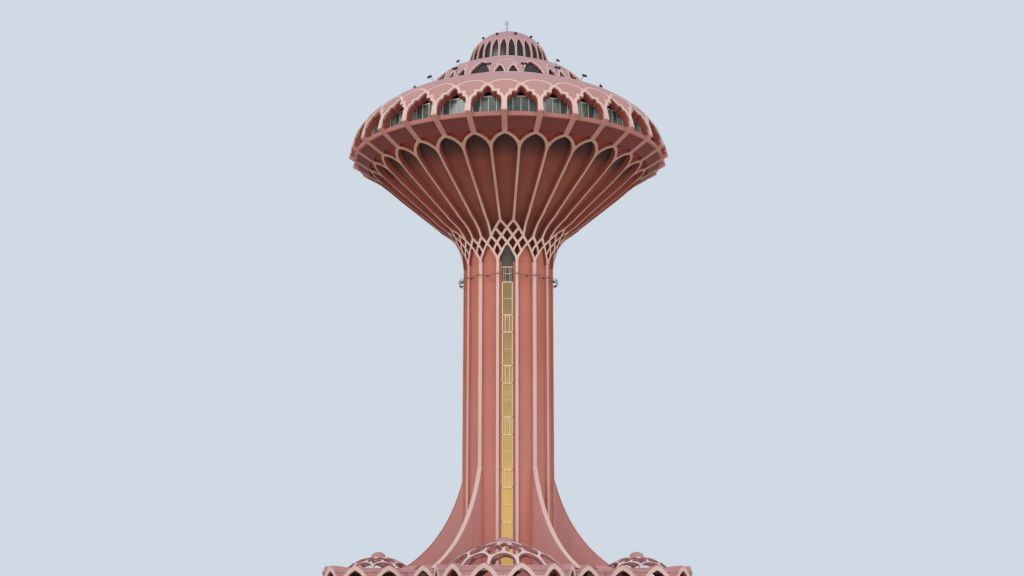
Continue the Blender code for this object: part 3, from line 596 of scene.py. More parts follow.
def shaftRelief(azimuth):
    # How far the wall's face lies behind the ribs' faces, as a negative length.
    rib = shaft["ribStep"] * round((azimuth - bayStep) / shaft["ribStep"]) + bayStep
    share = (abs(azimuth - rib) - ribHalfAt(rib)) / shaft["chamfer"]
    return -shaft["flute"] * min(max(share, 0.0), 1.0)


def buildShaft():
    folds = [rib + side * (ribHalfAt(rib) + edge) for rib in (-36, -12, 12, 36) for side in (-1, 1)
             for edge in (0, shaft["chamfer"])]
    folds = [a for a in folds if -halfSector < a < halfSector] + list(range(-34, 36, 2))
    half, low, top = shaft["slotHalf"], shaft["slotLow"], shaft["top"]
    slot = [(-half, low), (half, low), (half, top + 0.1), (-half, top + 0.1)]

    def place(azimuth, along, behind):
        return roundAt(shaft["r"] + (-shaft["wall"] if behind else shaftRelief(azimuth)), along, azimuth)

    outline = [(-36, 0), (36, 0), (36, top), (-36, top)]
    lines = [((a, 0), (a, top)) for a in folds]
    for i in five:
        wall = sheet([outline], [slot] if i == 1 else [], lines, place, radians(shaft["r"]))
        piece(f"shaftWall_{i}", wall, ["pinkRender"] * 3, "pink_render", [f"shaft_wall_{i}"],
              (i - 1) * sector)
    face, head = shaft["r"] + shaft["ribProud"], top + 0.002
    ribs = []
    for middle in (-12, 12, 36):
        half = ribHalfAt(middle)
        foot = fin["top"][1] if middle == 36 else 0.0   # below this height the fin takes the rib's place
        ribs.append(shell(SideLine([(face, 0), (face, head)]), shaft["ribDepth"],
                          (middle - half, middle + half), reach=(foot, head), step=1.0))
    fivefold("shaftRibs", joined(ribs), ["paleTrim"] * 3, "pale_trim")


# The lift's glazing goes down from the head frame in pairs of a tall and a short light. Thin bars stand back.
lift = {"half": 0.080, "face": 0.633, "glass": 0.02, "low": 0.052, "high": 4.806, "tall": 0.50, "short": 0.26,
        "rail": 0.012, "proud": 0.012, "bed": 0.005, "innerHalf": 0.032, "innerBar": 0.008, "thinRail": 0.005,
        "sillRail": 0.006, "headTop": 5.125, "headBack": 0.004, "railHeights": (4.93, 5.035),
        "headRail": 0.009, "headPosts": (0.03, 0.055), "headPost": 0.004}


def buildLift():
    half, face = lift["half"], -lift["face"]
    glass = block((-half, face, lift["low"]), (half, face + lift["glass"], lift["high"]))
    piece("liftGlazing", glass, ["goldGlass"], "gold_glass", ["lift_glazing"])
    head = block((-half, face + lift["headBack"], lift["high"]),
                 (half, face + lift["glass"], lift["headTop"]))
    piece("liftHeadGlass", head, ["headGlass"], "gold_glass")
    front, rail = face - lift["proud"], lift["rail"]
    bars = []

    def bar(x, width, low, high, back=0.0):
        low = max(low, lift["low"])
        if high > low:
            bars.append(block((x - width / 2, front + back, low), (x + width / 2, face + lift["bed"], high)))

    def crossbar(z, thick, back=0.0, reach=half):
        under = z - thick / 2
        if under >= lift["low"]:
            bars.append(block((-reach, front + back, under), (reach, face + lift["bed"], z + thick / 2)))

    for side in (-1, 1):
        bar(side * (half - rail / 2), rail, lift["low"], lift["high"])
        for x in lift["headPosts"]:
            bar(side * x, lift["headPost"], lift["high"], lift["railHeights"][1], 0.005)
    top = lift["high"]
    while top > lift["low"] + 0.1:
        crossbar(top, rail)
        crossbar(top - lift["tall"] / 2, lift["thinRail"], 0.006)
        low = top - lift["tall"]
        for side in (-1, 1):
            bar(side * lift["innerHalf"], lift["innerBar"], low - lift["short"], low, 0.003)
        crossbar(low - 0.02, lift["sillRail"], 0.004, lift["innerHalf"])
        crossbar(low, rail)
        top = low - lift["short"]
    crossbar(lift["low"] + rail / 2, rail)
    for z in lift["railHeights"]:
        crossbar(z, lift["headRail"], 0.002)
    piece("liftFrame", joined(bars), ["liftFrame"], "gold_glass")


buildShaft()
buildLift()
print("shaft made")


def buildFins():
    edge = bezier(fin["top"], *fin["handles"], fin["toe"], 48)[::-1]
    half, width, underside = fin["thickness"] / 2, fin["bandWidth"] / 2, fin["toe"][1]
    foot = strip([((fin["root"], z), (fin["foot"], z)) for z in (0.0, underside)], -half, half)
    blade = strip([((fin["root"], z), (r, z)) for r, z in edge], -half, half)
    fivefold("shaftFin", joined([foot, blade]), ["finRender"], "fin_render", "shaft_fin", halfSector)
    line = SideLine(edge)
    sides = [(tuple(line.at(a, -fin["band"])), tuple(line.at(a, fin["bandProud"]))) for a in line.along]
    fivefold("finEdge", strip(sides, -width, width), ["paleTrim"], "fin_render", None, halfSector)


buildFins()
print("fins made")

# Bowl: a net of pale ribs with a lattice collar, over dark flutes. The rows are the heights of the lattice's
# crossings, and a rib stands half a bay on each side of a flute.
bowl = {"rowA": 5.270, "rowB": 5.391, "rowC": 5.487, "rowD": 5.590, "rowE": 5.681, "splay": 5.2, "bar": 0.036,
        "ribDepth": 0.085, "spring": 6.465, "tip": 6.655, "archOut": 1.5, "archSteps": 10,
        "spandrelDepth": 0.045, "skin": 0.02, "overlap": 0.003, "panel": 0.012, "panelDepth": 0.05,
        "panelGap": 0.004}
bowlLine = SideLine(bezier((0.690, 5.120), (0.737, 5.681), (1.036, 5.697), (1.125, 5.819), 14)
                    + [(1.330, 5.988), (1.535, 6.157), (1.744, 6.329), (1.952, 6.514), (2.060, 6.601),
                       (2.169, 6.689)], footCut=(1, 0))
halfBay = bayStep / 2


def archOverFlute(bay):
    # The right half of the arch's middle line over a flute, from the rib to the tip.
    start = bowlLine.reach(bowl["spring"])
    rise = bowlLine.reach(bowl["tip"]) - start
    half = radians(halfBay) * bowlLine.at(start + rise * 0.4).x
    return [(bay + halfBay * x / half, start + y) for x, y in ogive(half, rise, bowl["archSteps"])]


def reflected(points, middle):
    return [(2 * middle - x, y) for x, y in reversed(points)]


def latticeCells():
    # (azimuth, along) loops in degrees and metres. The first three are the shaft's flutes up to their tips.
    to = bowlLine.reach
    a, b, c, d, e = (to(bowl[row]) for row in ("rowA", "rowB", "rowC", "rowD", "rowE"))
    below, out = -0.05, 12 - bowl["splay"]
    cells = []
    for bay in around(24, -24, 24):
        right = [(bay + 12, below), (bay + 12, 0.0), (bay + 10.6, 0.075), (bay + out, a),
                 (bay + 3.7, a + 0.075), (bay, b)]
        cells.append(right + reflected(right[:-1], bay))
    for rib in around(24, -36, 36):
        cells.append([(rib, 0.0), (rib + 1.4, 0.075), (rib + bowl["splay"], a), (rib + 3, a + 0.07), (rib, b),
                      (rib - 3, a + 0.07), (rib - bowl["splay"], a), (rib - 1.4, 0.075)])
    for rib in around(12, -42, 42):
        knee = rib + (0.8 if (rib - 6) % 24 < 1 else -0.8)
        cells.append([(knee, a), (rib + 6, b), (rib, c), (rib - 6, b)])
    cells.append([(0, b), (6, c), (0, d), (-6, c)])
    for s in (-1, 1):
        cells.append([(12 * s, b), (18 * s, c), (12 * s, d), (6 * s, c)])
        cells.append([(6 * s, c), (12 * s, d), (6 * s, e), (0, d)])
    return cells


def fluteLoops():
    # The flutes between the ribs; the middle three start higher, on the lattice's point.
    to = bowlLine.reach
    loops = []
    for bay in around(bayStep, -halfSector, halfSector):
        foot, left, right = to(bowl["rowB"]), to(bowl["rowC"]), to(bowl["rowC"])
        if abs(bay) <= bayStep:
            foot = to(bowl["rowD"])
            left = to(bowl["rowE"]) if bay >= 0 else left
            right = to(bowl["rowE"]) if bay <= 0 else right
        arch = archOverFlute(bay)
        rightRib = [(bay + halfBay, s) for s in bowlLine.along if right < s < arch[0][1] - 0.01]
        leftRib = [(bay - halfBay, s) for s in reversed(bowlLine.along) if left < s < arch[0][1] - 0.01]
        loops.append([(bay, foot), (bay + halfBay, right)] + rightRib + arch
                     + reflected(arch[:-1], bay) + leftRib + [(bay - halfBay, left)])
    return loops


def buildBowl():
    half = bowl["bar"] / 2
    span = (-halfSector, halfSector)
    cut = [shrink(loop, half, bowlLine) for loop in latticeCells() + fluteLoops()]
    over = bowlLine.length + 0.06
    for rib in around(bayStep, -42, 42):    # the open spandrels between two arches' shoulders
        lower = archOverFlute(rib - halfBay)
        upper = archOverFlute(rib + halfBay)
        loop = lower[::-1] + [(2 * (rib + halfBay) - x, y) for x, y in upper][1:]
        loop = shrink(loop + [(rib + halfBay, over), (rib - halfBay, over)], half * bowl["archOut"], bowlLine)
        left = [p for p in loop[:len(lower)] if p[0] < rib - 0.02]
        right = [p for p in loop[len(lower):-2] if p[0] > rib + 0.02]
        cut.append(left + right + loop[-2:])
    net = shell(bowlLine, bowl["ribDepth"], span, cut)
    fivefold("bowlRibNet", net, ["soffitTrim", "ribSide", "soffit"], "pale_trim", "bowl_rib_net")

    soffit = shell(bowlLine, bowl["skin"], span, depth=bowl["ribDepth"] - bowl["overlap"], step=2.0)
    fivefold("bowlSoffit", soffit, ["soffit"] * 3, "soffit_render", "bowl_shell")
    arches = []
    for bay in around(bayStep, -halfSector, halfSector):
        arch = archOverFlute(bay)
        foot = arch[0][1] - 0.2
        loop = [(bay + halfBay, foot)] + arch + reflected(arch[:-1], bay) + [(bay - halfBay, foot)]
        arches.append(shrink(loop, half * 0.5, bowlLine))
    panel = shell(bowlLine, bowl["skin"], span, arches, depth=bowl["spandrelDepth"],
                  reach=(bowlLine.reach(bowl["spring"]) - 0.1, bowlLine.length))
    fivefold("bowlSpandrel", panel, ["spandrel"] * 3, "soffit_render")


def buildBayPanels():
    # The shaft's flutes run on behind the lattice to their points; the front one is dark glass.
    cells = latticeCells()[:3]
    for i in five:
        for key, loop in zip("abc", cells):
            loop = shrink(loop, bowl["panelGap"], bowlLine)
            loop = [(x, max(y, -0.03)) for x, y in loop]
            front = key == "b" and i == 1
            panel = shell(bowlLine, bowl["panel"], (-37, 37), keep=[loop], depth=bowl["panelDepth"])
            piece(f"bayPanel_{i}{key}", panel, ["headGlass" if front else "pinkRender"] * 3,
                  "gold_glass" if front else "pink_render", (), (i - 1) * sector)


buildBowl()
buildBayPanels()
print("bowl made")

# Gallery: corbelled piers, sill, fascia and a band of tall panes. The sections are (radius, height) outlines.
gallery = {"floor": 6.88, "pierRadius": 2.48, "pierHalf": 0.93, "glass": 2.185, "pane": 0.012,
           "glassTop": 7.175, "paneStep": 3, "mullion": 0.009, "rail": 0.012, "bed": 0.004}
fasciaSection = [(2.171, 6.690), (2.362, 6.826), (2.362, 6.86), (2.095, 6.880), (2.095, 6.775)]
sillSection = [(2.332, 6.822), (2.392, 6.822), (2.392, 6.88), (2.10, 6.881), (2.10, 6.87)]
pierOutline = [(2.125, 6.664), (2.476, 6.866), (2.48, 6.880), (2.30, 6.880), (2.14, 6.74)]


def ringSection(line, span, step=3.0, close=True):
    # A closed (r, z) outline swept over a span of azimuths.
    mesh = bmesh.new()
    count = max(1, round((span[1] - span[0]) / step))
    rows = [[mesh.verts.new(roundAt(r, z, span[0] + (span[1] - span[0]) * i / count)) for r, z in line]
            for i in range(count + 1)]
    for near, far in zip(rows, rows[1:]):
        for k in range(len(line)):
            mesh.faces.new([near[k], near[(k + 1) % len(line)], far[(k + 1) % len(line)], far[k]])
    if close:
        mesh.faces.new(rows[0])
        mesh.faces.new(rows[-1][::-1])
    return mesh


def buildGallery():
    span = (-halfSector, halfSector)
    fivefold("galleryFascia", ringSection(fasciaSection, span), ["fascia"], "gallery_render", "gallery_ring")
    fivefold("gallerySill", ringSection(sillSection, span), ["sill"], "gallery_render")
    w = gallery["pierRadius"] * radians(gallery["pierHalf"])
    piers = [turned(plate(pierOutline, -w, w), azimuth) for azimuth in around(bayStep, -24, 36)]
    fivefold("galleryPiers", joined(piers), ["pier"], "gallery_render")
    glass, low, high, step = gallery["glass"], gallery["floor"], gallery["glassTop"], gallery["paneStep"]
    count = 360 // step
    pane = shell(SideLine([(glass, low - 0.002), (glass, high)]), gallery["pane"], (0, step))
    piece("galleryGlazing", joined([turned(pane, step * i) for i in range(count)]), ["galleryGlass"] * 3,
          "tinted_glass", ["gallery_glazing"])
    m, rail = gallery["mullion"], gallery["rail"]
    post = block((-m / 2, -glass - rail, low), (m / 2, -glass, high))
    bars = [turned(post, step * i) for i in range(count)]
    for foot in (low, high - rail):
        outline = [(glass - gallery["bed"], foot), (glass + rail, foot), (glass + rail, foot + rail),
                   (glass - gallery["bed"], foot + rail)]
        bars.append(ringSection(outline, (0, 360), close=False))
    piece("galleryMullions", joined(bars), ["mullion"], "tinted_glass")


buildGallery()
print("gallery made")

# Roof shell: stepped pointed windows with pale surrounds and round mouldings between their tips
roof = {"thickness": 0.11, "trim": 0.042, "trimProud": 0.010, "bed": 0.02, "scallop": 0.032, "tip": 7.307,
        "scallopTop": 7.438, "scallopProud": 0.006}
roofLine = SideLine(bezier((2.468, 6.8803), (2.350, 7.606), (1.451, 7.812), (1.347, 7.827), 18),
                    footCut=(1, 0), headCut=(0, 1))
# right half of a window opening: (across, up) in metres, from the sill to the tip
windowHalf = [(0.214, -0.05), (0.218, 0.04), (0.217, 0.14), (0.215, 0.18), (0.208, 0.212), (0.192, 0.242),
              (0.168, 0.260), (0.146, 0.266), (0.144, 0.326), (0.069, 0.331)] + ogive(0.067, 0.135, 8, 0.3315)
wallLook = ["roofRender", "reveal", "reveal"]       # front, edges and back of a pierced wall
trimLook = ["paleTrim", "paleTrim", "reveal"]       # and of the trim on it


def grown(right, margin):
    # The right half of an outline moved outwards by a margin, its tip kept on the middle line.
    points = [Vector(p) for p in right]
    result = []
    for i, here in enumerate(points):
        into = (here - points[i - 1]).normalized() if i else (points[1] - here).normalized()
        onward = (points[i + 1] - here).normalized() if i < len(points) - 1 else into
        normalIn, normalOut = Vector((into.y, -into.x)), Vector((onward.y, -onward.x))
        mitre = (normalIn + normalOut).normalized()
        result.append(here + mitre * (margin / max(mitre.dot(normalIn), 0.5)))
    tip = points[-1] + Vector((0, margin * 1.5))
    return [(max(p.x, 0.001), p.y) for p in result[:-1]] + [(0.0, tip.y)]


def arcBand(half, rise, width, steps=16):
    # A segmental arch band between (-half, 0) and (half, 0), as a closed outline.
    radius = (half * half + rise * rise) / (2 * rise)
    sweep = atan2(half, radius - rise)
    middle = rise - radius
    turns = [sweep * (1 - 2 * i / steps) for i in range(steps + 1)]
    outer = [(radius * sin(a), middle + radius * cos(a)) for a in turns]
    share = (radius - width) / radius
    inner = [(x * share, middle + (y - middle) * share) for x, y in outer]
    return outer + inner[::-1]


def clamped(loop, low, high):
    return [(min(max(x, low), high), y) for x, y in loop]


def buildRoof():
    windows, span = around(bayStep, -30, 30), (-halfSector, halfSector)
    cut = [onShell(mirrored(windowHalf), w, 0.0, roofLine) for w in windows]
    skin = shell(roofLine, roof["thickness"], span, cut)
    fivefold("roofShell", skin, wallLook, "roof_render", "roof_shell")
    trim = [onShell(mirrored(grown(windowHalf, roof["trim"])), w, 0.0, roofLine) for w in windows]
    trim = [[(x, max(y, 0.0)) for x, y in loop] for loop in trim]
    surround = shell(roofLine, roof["trimProud"] + roof["bed"], span, cut, trim, depth=-roof["trimProud"])
    fivefold("windowSurrounds", surround, trimLook, "pale_trim")
    start = roofLine.reach(roof["tip"]) + 0.02
    rise = roofLine.reach(roof["scallopTop"]) - start
    half = radians(halfBay) * roofLine.at(start).x
    bands = []
    for pier in around(bayStep, -24, 36):
        loop = onShell(arcBand(half, rise, roof["scallop"]), pier, start, roofLine)
        bands.append(shell(roofLine, roof["bed"], (pier - 6.5, pier + 6.5), keep=[loop],
                           depth=-roof["scallopProud"]))
    fivefold("scallopMoulding", joined(bands), ["paleTrim"] * 3, "pale_trim")


buildRoof()
print("roof made")

# Upper tier: big pointed openings between pairs of small ones. The outlines are right halves in metres.
tier = {"thickness": 0.04, "bottom": 7.74, "foot": 7.862, "pair": 4.5, "trim": 0.020, "trimProud": 0.008,
        "bed": 0.020, "glass": 0.012, "glassReach": (-0.03, 0.36), "post": 0.006, "legTop": 0.12,
        "legWidth": 0.022, "arcFoot": 0.10, "sill": 0.02,
        "big": [(0.152, 0.0), (0.150, 0.035), (0.130, 0.095), (0.098, 0.165), (0.060, 0.232), (0.028, 0.276),
                (0.0, 0.305)],
        "small": [(0.070, 0.0), (0.067, 0.035), (0.052, 0.068), (0.046, 0.096), (0.026, 0.132), (0.0, 0.172)],
        "arc": (0.142, 0.315), "posts": [(15.6, 0.16), (20.4, 0.16), (4.5, 0.14), (-4.5, 0.14)]}
tierLine = SideLine([(1.3467, tier["bottom"])]
                    + bezier((1.3467, 7.827), (1.076, 8.342), (0.866, 8.243), (0.635, 8.351), 14),
                    footCut=(1, 0), headCut=(0, 1))
tenth = (-18, 18)       # the span of a tenth of the ring, in degrees


def buildUpperTier():
    start = tierLine.reach(tier["foot"])
    pair, small = tier["pair"], tier["small"]
    halves = [(-18, tier["big"]), (18, tier["big"]), (-pair, small), (pair, small)]
    cut = [clamped(onShell(mirrored(right), a, start, tierLine), *tenth) for a, right in halves]
    skin = shell(tierLine, tier["thickness"], tenth, cut, openEnds=True)
    piece("upperTier", tenfold(skin), wallLook, "roof_render", ["upper_tier"])
    keep = [onShell(mirrored(grown(right, tier["trim"])), a, start, tierLine) for a, right in halves]
    keep = [clamped([(x, max(y, start - tier["sill"])) for x, y in loop], *tenth) for loop in keep]
    (half, rise), foot, top = tier["arc"], tier["arcFoot"], tier["legTop"]
    keep.append(onShell(arcBand(half, rise - foot, tier["trim"] * 0.8), 0, start + foot, tierLine))
    keep.append([(-18, start - 0.022), (18, start - 0.022), (18, start + 0.001), (-18, start + 0.001)])
    inner, low = half - tier["legWidth"], -tier["sill"]
    for s in (-1, 1):
        leg = [(s * half, low), (s * inner, low), (s * inner, top), (s * half, top)]
        keep.append(onShell(leg, 0, start, tierLine))
    trim = shell(tierLine, tier["trimProud"] + tier["bed"], tenth, cut, keep, depth=-tier["trimProud"],
                 openEnds=True)
    piece("upperTierSurrounds", tenfold(trim), trimLook, "pale_trim")
    glass = shell(tierLine, tier["glass"], tenth, depth=tier["thickness"] - tier["glass"],
                  reach=[start + up for up in tier["glassReach"]], openEnds=True)
    piece("upperTierGlazing", tenfold(glass), ["darkGlass"] * 3, "dark_glass", ["upper_tier_glazing"])
    depth = tier["thickness"] - tier["glass"] - tier["post"]
    posts = [shell(tierLine, tier["post"], (a - 0.1, a + 0.1), depth=depth, step=1.0,
                   reach=(start, start + high)) for a, high in tier["posts"]]
    piece("upperTierMullions", tenfold(joined(posts), False), ["railSteel"] * 3, "dark_glass")


buildUpperTier()
print("upper tier made")

# Lantern: a ring of lancets under a smooth cap
lantern = {"thickness": 0.034, "half": 0.049, "halfAt": 0.61, "narrowing": 1.7, "foot": 8.385, "tip": 8.715,
           "trim": 0.010, "trimProud": 0.006, "trimDepth": 0.02, "glass": 0.008, "overlap": 0.002,
           "steps": 12}
lanternLine = SideLine([(0.6344, 8.29)]
                       + bezier((0.6344, 8.351), (0.645, 8.899), (0.107, 9.0), (0.0005, 9.0), 18),
                       footCut=(1, 0))


def lancet(grow):
    # A lancet narrows with the dome, so its half width, given at one radius, follows the radius.
    start, end = lanternLine.reach(lantern["foot"]), lanternLine.reach(lantern["tip"])
    right = []
    for i in range(lantern["steps"] + 1):
        part = i / lantern["steps"]
        along = start + (end - start) * part
        radius = lanternLine.at(along).x
        share = 1.0 if part < 0.5 else 1 - ((part - 0.5) / 0.5) ** lantern["narrowing"]
        half = lantern["half"] * radius / lantern["halfAt"] * share
        right.append((degrees((half + grow) / radius), along))
    right[-1] = (0.0, end + grow * 2)
    right[0] = (right[0][0], start - grow)
    return mirrored(right)


def lancets(grow):
    # A tenth holds two whole lancets and a half of one on each side.
    loops = [(middle, [(middle + x, y) for x, y in lancet(grow)]) for middle in (-6, 6, -18, 18)]
    return [clamped(loop, *tenth) if abs(middle) == 18 else loop for middle, loop in loops]


def buildLantern():
    cut = lancets(0.0)
    skin = shell(lanternLine, lantern["thickness"], tenth, cut, openEnds=True, pole=True)
    piece("lantern", tenfold(skin), wallLook, "lantern_render", ["lantern"])
    trim = shell(lanternLine, lantern["trimDepth"], tenth, cut, lancets(lantern["trim"]),
                 depth=-lantern["trimProud"], openEnds=True)
    piece("lanternSurrounds", tenfold(trim), trimLook, "pale_trim")
    foot, head = lanternLine.reach(lantern["foot"]) - 0.02, lanternLine.reach(lantern["tip"]) + 0.02
    glass = shell(lanternLine, lantern["glass"], tenth, reach=(foot, head), openEnds=True,
                  depth=lantern["thickness"] - lantern["glass"] - lantern["overlap"])
    piece("lanternGlazing", tenfold(glass), ["darkGlass"] * 3, "dark_glass", ["lantern_glazing"])


buildLantern()
print("lantern made")

# Mast, service ring and floodlights. Each rod has its place across the front, foot, head and radius.
mastRods = [(-0.018, 8.99, 9.208, 0.0035), (-0.040, 8.99, 9.19, 0.003), (-0.103, 8.975, 9.035, 0.003),
            (-0.133, 8.97, 9.02, 0.003)]
mastArms = {"middle": -0.026, "radius": 0.0025, "arms": [(9.20, 0.034), (9.165, 0.03)]}     # height and reach
ring = {"z": 4.924, "r": 0.747, "step": 24, "sagIn": 0.012, "sagDown": 0.022, "pipe": 0.0045, "wall": 0.680,
        "stayRise": 0.03, "stay": 0.003, "sagWall": 0.64, "sagRise": 0.02, "box": 0.012}
hoop = {"foot": 0.690, "out": 0.072, "half": 0.075, "pipe": 0.004, "stay": 0.003, "spine": 0.735,
        "wall": 0.66, "stayWall": 0.645}


def buildMast():
    parts = [tube([Vector((x, 0, foot)), Vector((x, 0, head))], radius) for x, foot, head, radius in mastRods]
    middle = mastArms["middle"]
    for z, reach in mastArms["arms"]:
        ends = [Vector((middle - reach, 0, z)), Vector((middle + reach, 0, z))]
        parts.append(tube(ends, mastArms["radius"]))
    piece("mastAndAerials", joined(parts), ["darkSteel"], "dark_steel", ["mast"])


def buildServiceRing():
    r, z, step, stay = ring["r"], ring["z"], ring["step"], ring["stay"]
    sagged = (r - ring["sagIn"], z - ring["sagDown"])
    waves = [sin(pi * k / 12) for k in range(13)]
    parts = []
    for start in around(step, step / 2, 360 - step / 2):
        path = [roundAt(r - ring["sagIn"] * wave, z - ring["sagDown"] * wave, start + 2 * k)
                for k, wave in enumerate(waves)]
        parts.append(tube(path, ring["pipe"]))
        for foot in (z, z + ring["stayRise"]):
            parts.append(tube([roundAt(ring["wall"], foot, start), roundAt(r, z, start)], stay, 6))
        low = start + step / 2
        wall = roundAt(ring["sagWall"], z - ring["sagRise"], low)
        parts.append(tube([wall, roundAt(*sagged, low)], stay, 6))
    half = ring["box"]
    box = block((-half, -r + 0.004, z - 0.045), (half, -r + 0.03, z - 0.018))
    parts += [turned(box, azimuth) for azimuth in around(step, step, 360 - step)]
    piece("serviceRing", joined(parts), ["railSteel"], "dark_steel", ["service_ring"])


def buildServiceHoops():
    hoops = []
    turns = [pi * k / 16 for k in range(17)]
    for side in (90, 270):
        arc = [roundAt(hoop["foot"] + hoop["out"] * sin(a), ring["z"] + hoop["half"] * cos(a), side)
               for a in turns]
        ends = [roundAt(hoop["wall"], p.z, side) for p in (arc[0], arc[-1])]
        hoops.append(tube([ends[0]] + arc + [ends[1]], hoop["pipe"]))
        for k in (5, 8, 11):
            hoops.append(tube([roundAt(hoop["stayWall"], arc[k].z, side), arc[k]], hoop["stay"], 6))
        spine = [roundAt(hoop["spine"], arc[k].z, side) for k in (3, 13)]
        hoops.append(tube(spine, hoop["stay"], 6))
    piece("serviceHoops", joined(hoops), ["darkSteel"], "dark_steel")


# A lamp's shape in shares of its size; the knee is in shares of the pole's reach and rise
lampShape = {"knee": (0.35, 0.7), "foot": 0.01, "depth": 0.8, "height": 0.55, "bevel": 0.2, "tilt": -24}


def floodlight(foot, azimuth, light):
    # Lamp boxes on a bent pole that leans out from its foot.
    out, across, size = roundAt(1, 0, azimuth), roundAt(1, 0, azimuth + 90), light["size"]
    kneeOut, kneeUp = lampShape["knee"]
    head = foot + out * light["reach"] + Vector((0, 0, light["rise"]))
    knee = foot + out * light["reach"] * kneeOut + Vector((0, 0, light["rise"] * kneeUp))
    parts = [tube([foot - out * lampShape["foot"], knee, head], light["pole"], 6)]
    tilt = Matrix.Rotation(radians(azimuth), 4, "Z") @ Matrix.Rotation(radians(lampShape["tilt"]), 4, "X")
    corner, bevel = Vector((size, size * lampShape["depth"], size * lampShape["height"])), lampShape["bevel"]
    for side in light["lamps"]:
        lamp = block(-corner, corner)
        bmesh.ops.bevel(lamp, geom=lamp.edges[:], offset=size * bevel, segments=2, affect="EDGES")
        place = Matrix.Translation(head + across * size * side)
        bmesh.ops.transform(lamp, matrix=place @ tilt, verts=lamp.verts)
        parts.append(lamp)
    return parts


# Rings of floodlights: the line and height they stand at, first azimuth, spacing and one lamp's measures
pairOfLamps = (-1.25, 1.25)     # places across, in lamp sizes
floodlightRings = [
    (roofLine, 7.806, 10, 20,
     {"reach": 0.088, "rise": 0.112, "size": 0.021, "pole": 0.0036, "lamps": pairOfLamps}),
    (tierLine, 8.285, 60, 120,
     {"reach": 0.05, "rise": 0.085, "size": 0.018, "pole": 0.003, "lamps": pairOfLamps}),
    (lanternLine, 8.805, 15, 36,
     {"reach": 0.008, "rise": 0.02, "size": 0.021, "pole": 0.003, "lamps": (0,)}),
]


def buildFloodlights():
    parts = []
    for line, height, first, step, light in floodlightRings:
        p = line.at(line.reach(height))
        for azimuth in around(step, first, first + 360 - step):
            parts += floodlight(roundAt(p.x, p.y, azimuth), azimuth, light)
    piece("floodlights", joined(parts), ["darkSteel"], "dark_steel")


buildMast()
buildServiceRing()
buildServiceHoops()
buildFloodlights()
print("mast, ring and floodlights made")

# Pavilions: arcades of pointed arches with barrel roofs, lattice domes and the links between them
arcade = {"eaves": 0.605, "valley": 0.578, "wall": 0.05, "half": 0.182, "spring": 0.30, "tip": 0.575,
          "band": 0.052, "proud": 0.013, "bed": 0.01, "underRoof": 0.012, "impostLow": 0.448,
          "impostHigh": 0.480, "roofBack": 0.004, "roofDrop": 0.001, "slab": 0.03, "edge": 0.001,
          "flatten": 0.75, "rows": (0.0, 0.35, 0.7, 1.0)}
# linkBays are the two bays, counted round from the outer side, whose arches open into a link
bigPavilion = {"distance": 1.944, "radius": 0.972, "bays": 12, "domeR": 0.79, "domeTop": 0.94, "cells": 12,
               "knobR": 0.105, "linkBays": (4, 7)}
smallPavilion = {"distance": 1.948, "radius": 0.810, "bays": 10, "domeR": 0.47, "domeTop": 0.785, "cells": 8,
                 "knobR": 0.088, "linkBays": (3, 6)}


def centreOf(size, azimuth):
    return (size["distance"] * sin(radians(azimuth)), -size["distance"] * cos(radians(azimuth)))


def archOpening(grow=0.0, foot=-0.1):
    half, rise = arcade["half"] + grow, arcade["tip"] - arcade["spring"] + grow * 1.2
    return [(half, foot)] + ogive(half, rise, 14, arcade["spring"])


def flatWall(face, thickness, keep, opening):
    # An upright wall on the -Y side at y = -face, centred on x = 0.

    def place(x, z, behind):
        return Vector((x, -face + (thickness if behind else 0), z))

    return sheet(keep, [opening], [], place)


def roofProfile(width):
    # The scalloped edge of the canopy over one bay, from its right end to its left end.
    crown = [(x, z) for x, z in archOpening(arcade["band"] * 1.15)
             if z > arcade["valley"] and x < width / 2 - 0.01]
    right = [(width / 2, arcade["valley"] - 0.012), (width / 2 - 0.02, arcade["valley"])] + crown
    return mirrored(right)


def loftRows(rows, drop):
    # A curved slab through rows of points, with its underside a little lower.
    mesh = bmesh.new()
    top = [[mesh.verts.new(p) for p in row] for row in rows]
    low = [[mesh.verts.new((p[0], p[1], p[2] - drop)) for p in row] for row in rows]
    last = len(rows[0]) - 1
    for near, far, under, beyond in zip(top, top[1:], low, low[1:]):
        for k in range(last):
            mesh.faces.new([near[k], near[k + 1], far[k + 1], far[k]])
            mesh.faces.new([under[k], beyond[k], beyond[k + 1], under[k + 1]]).material_index = 1
        for k in (0, last):
            mesh.faces.new([near[k], far[k], beyond[k], under[k]])
    for row, under in ((top[0], low[0]), (top[-1], low[-1])):
        for k in range(last):
            mesh.faces.new([row[k], row[k + 1], under[k + 1], under[k]])
    return mesh


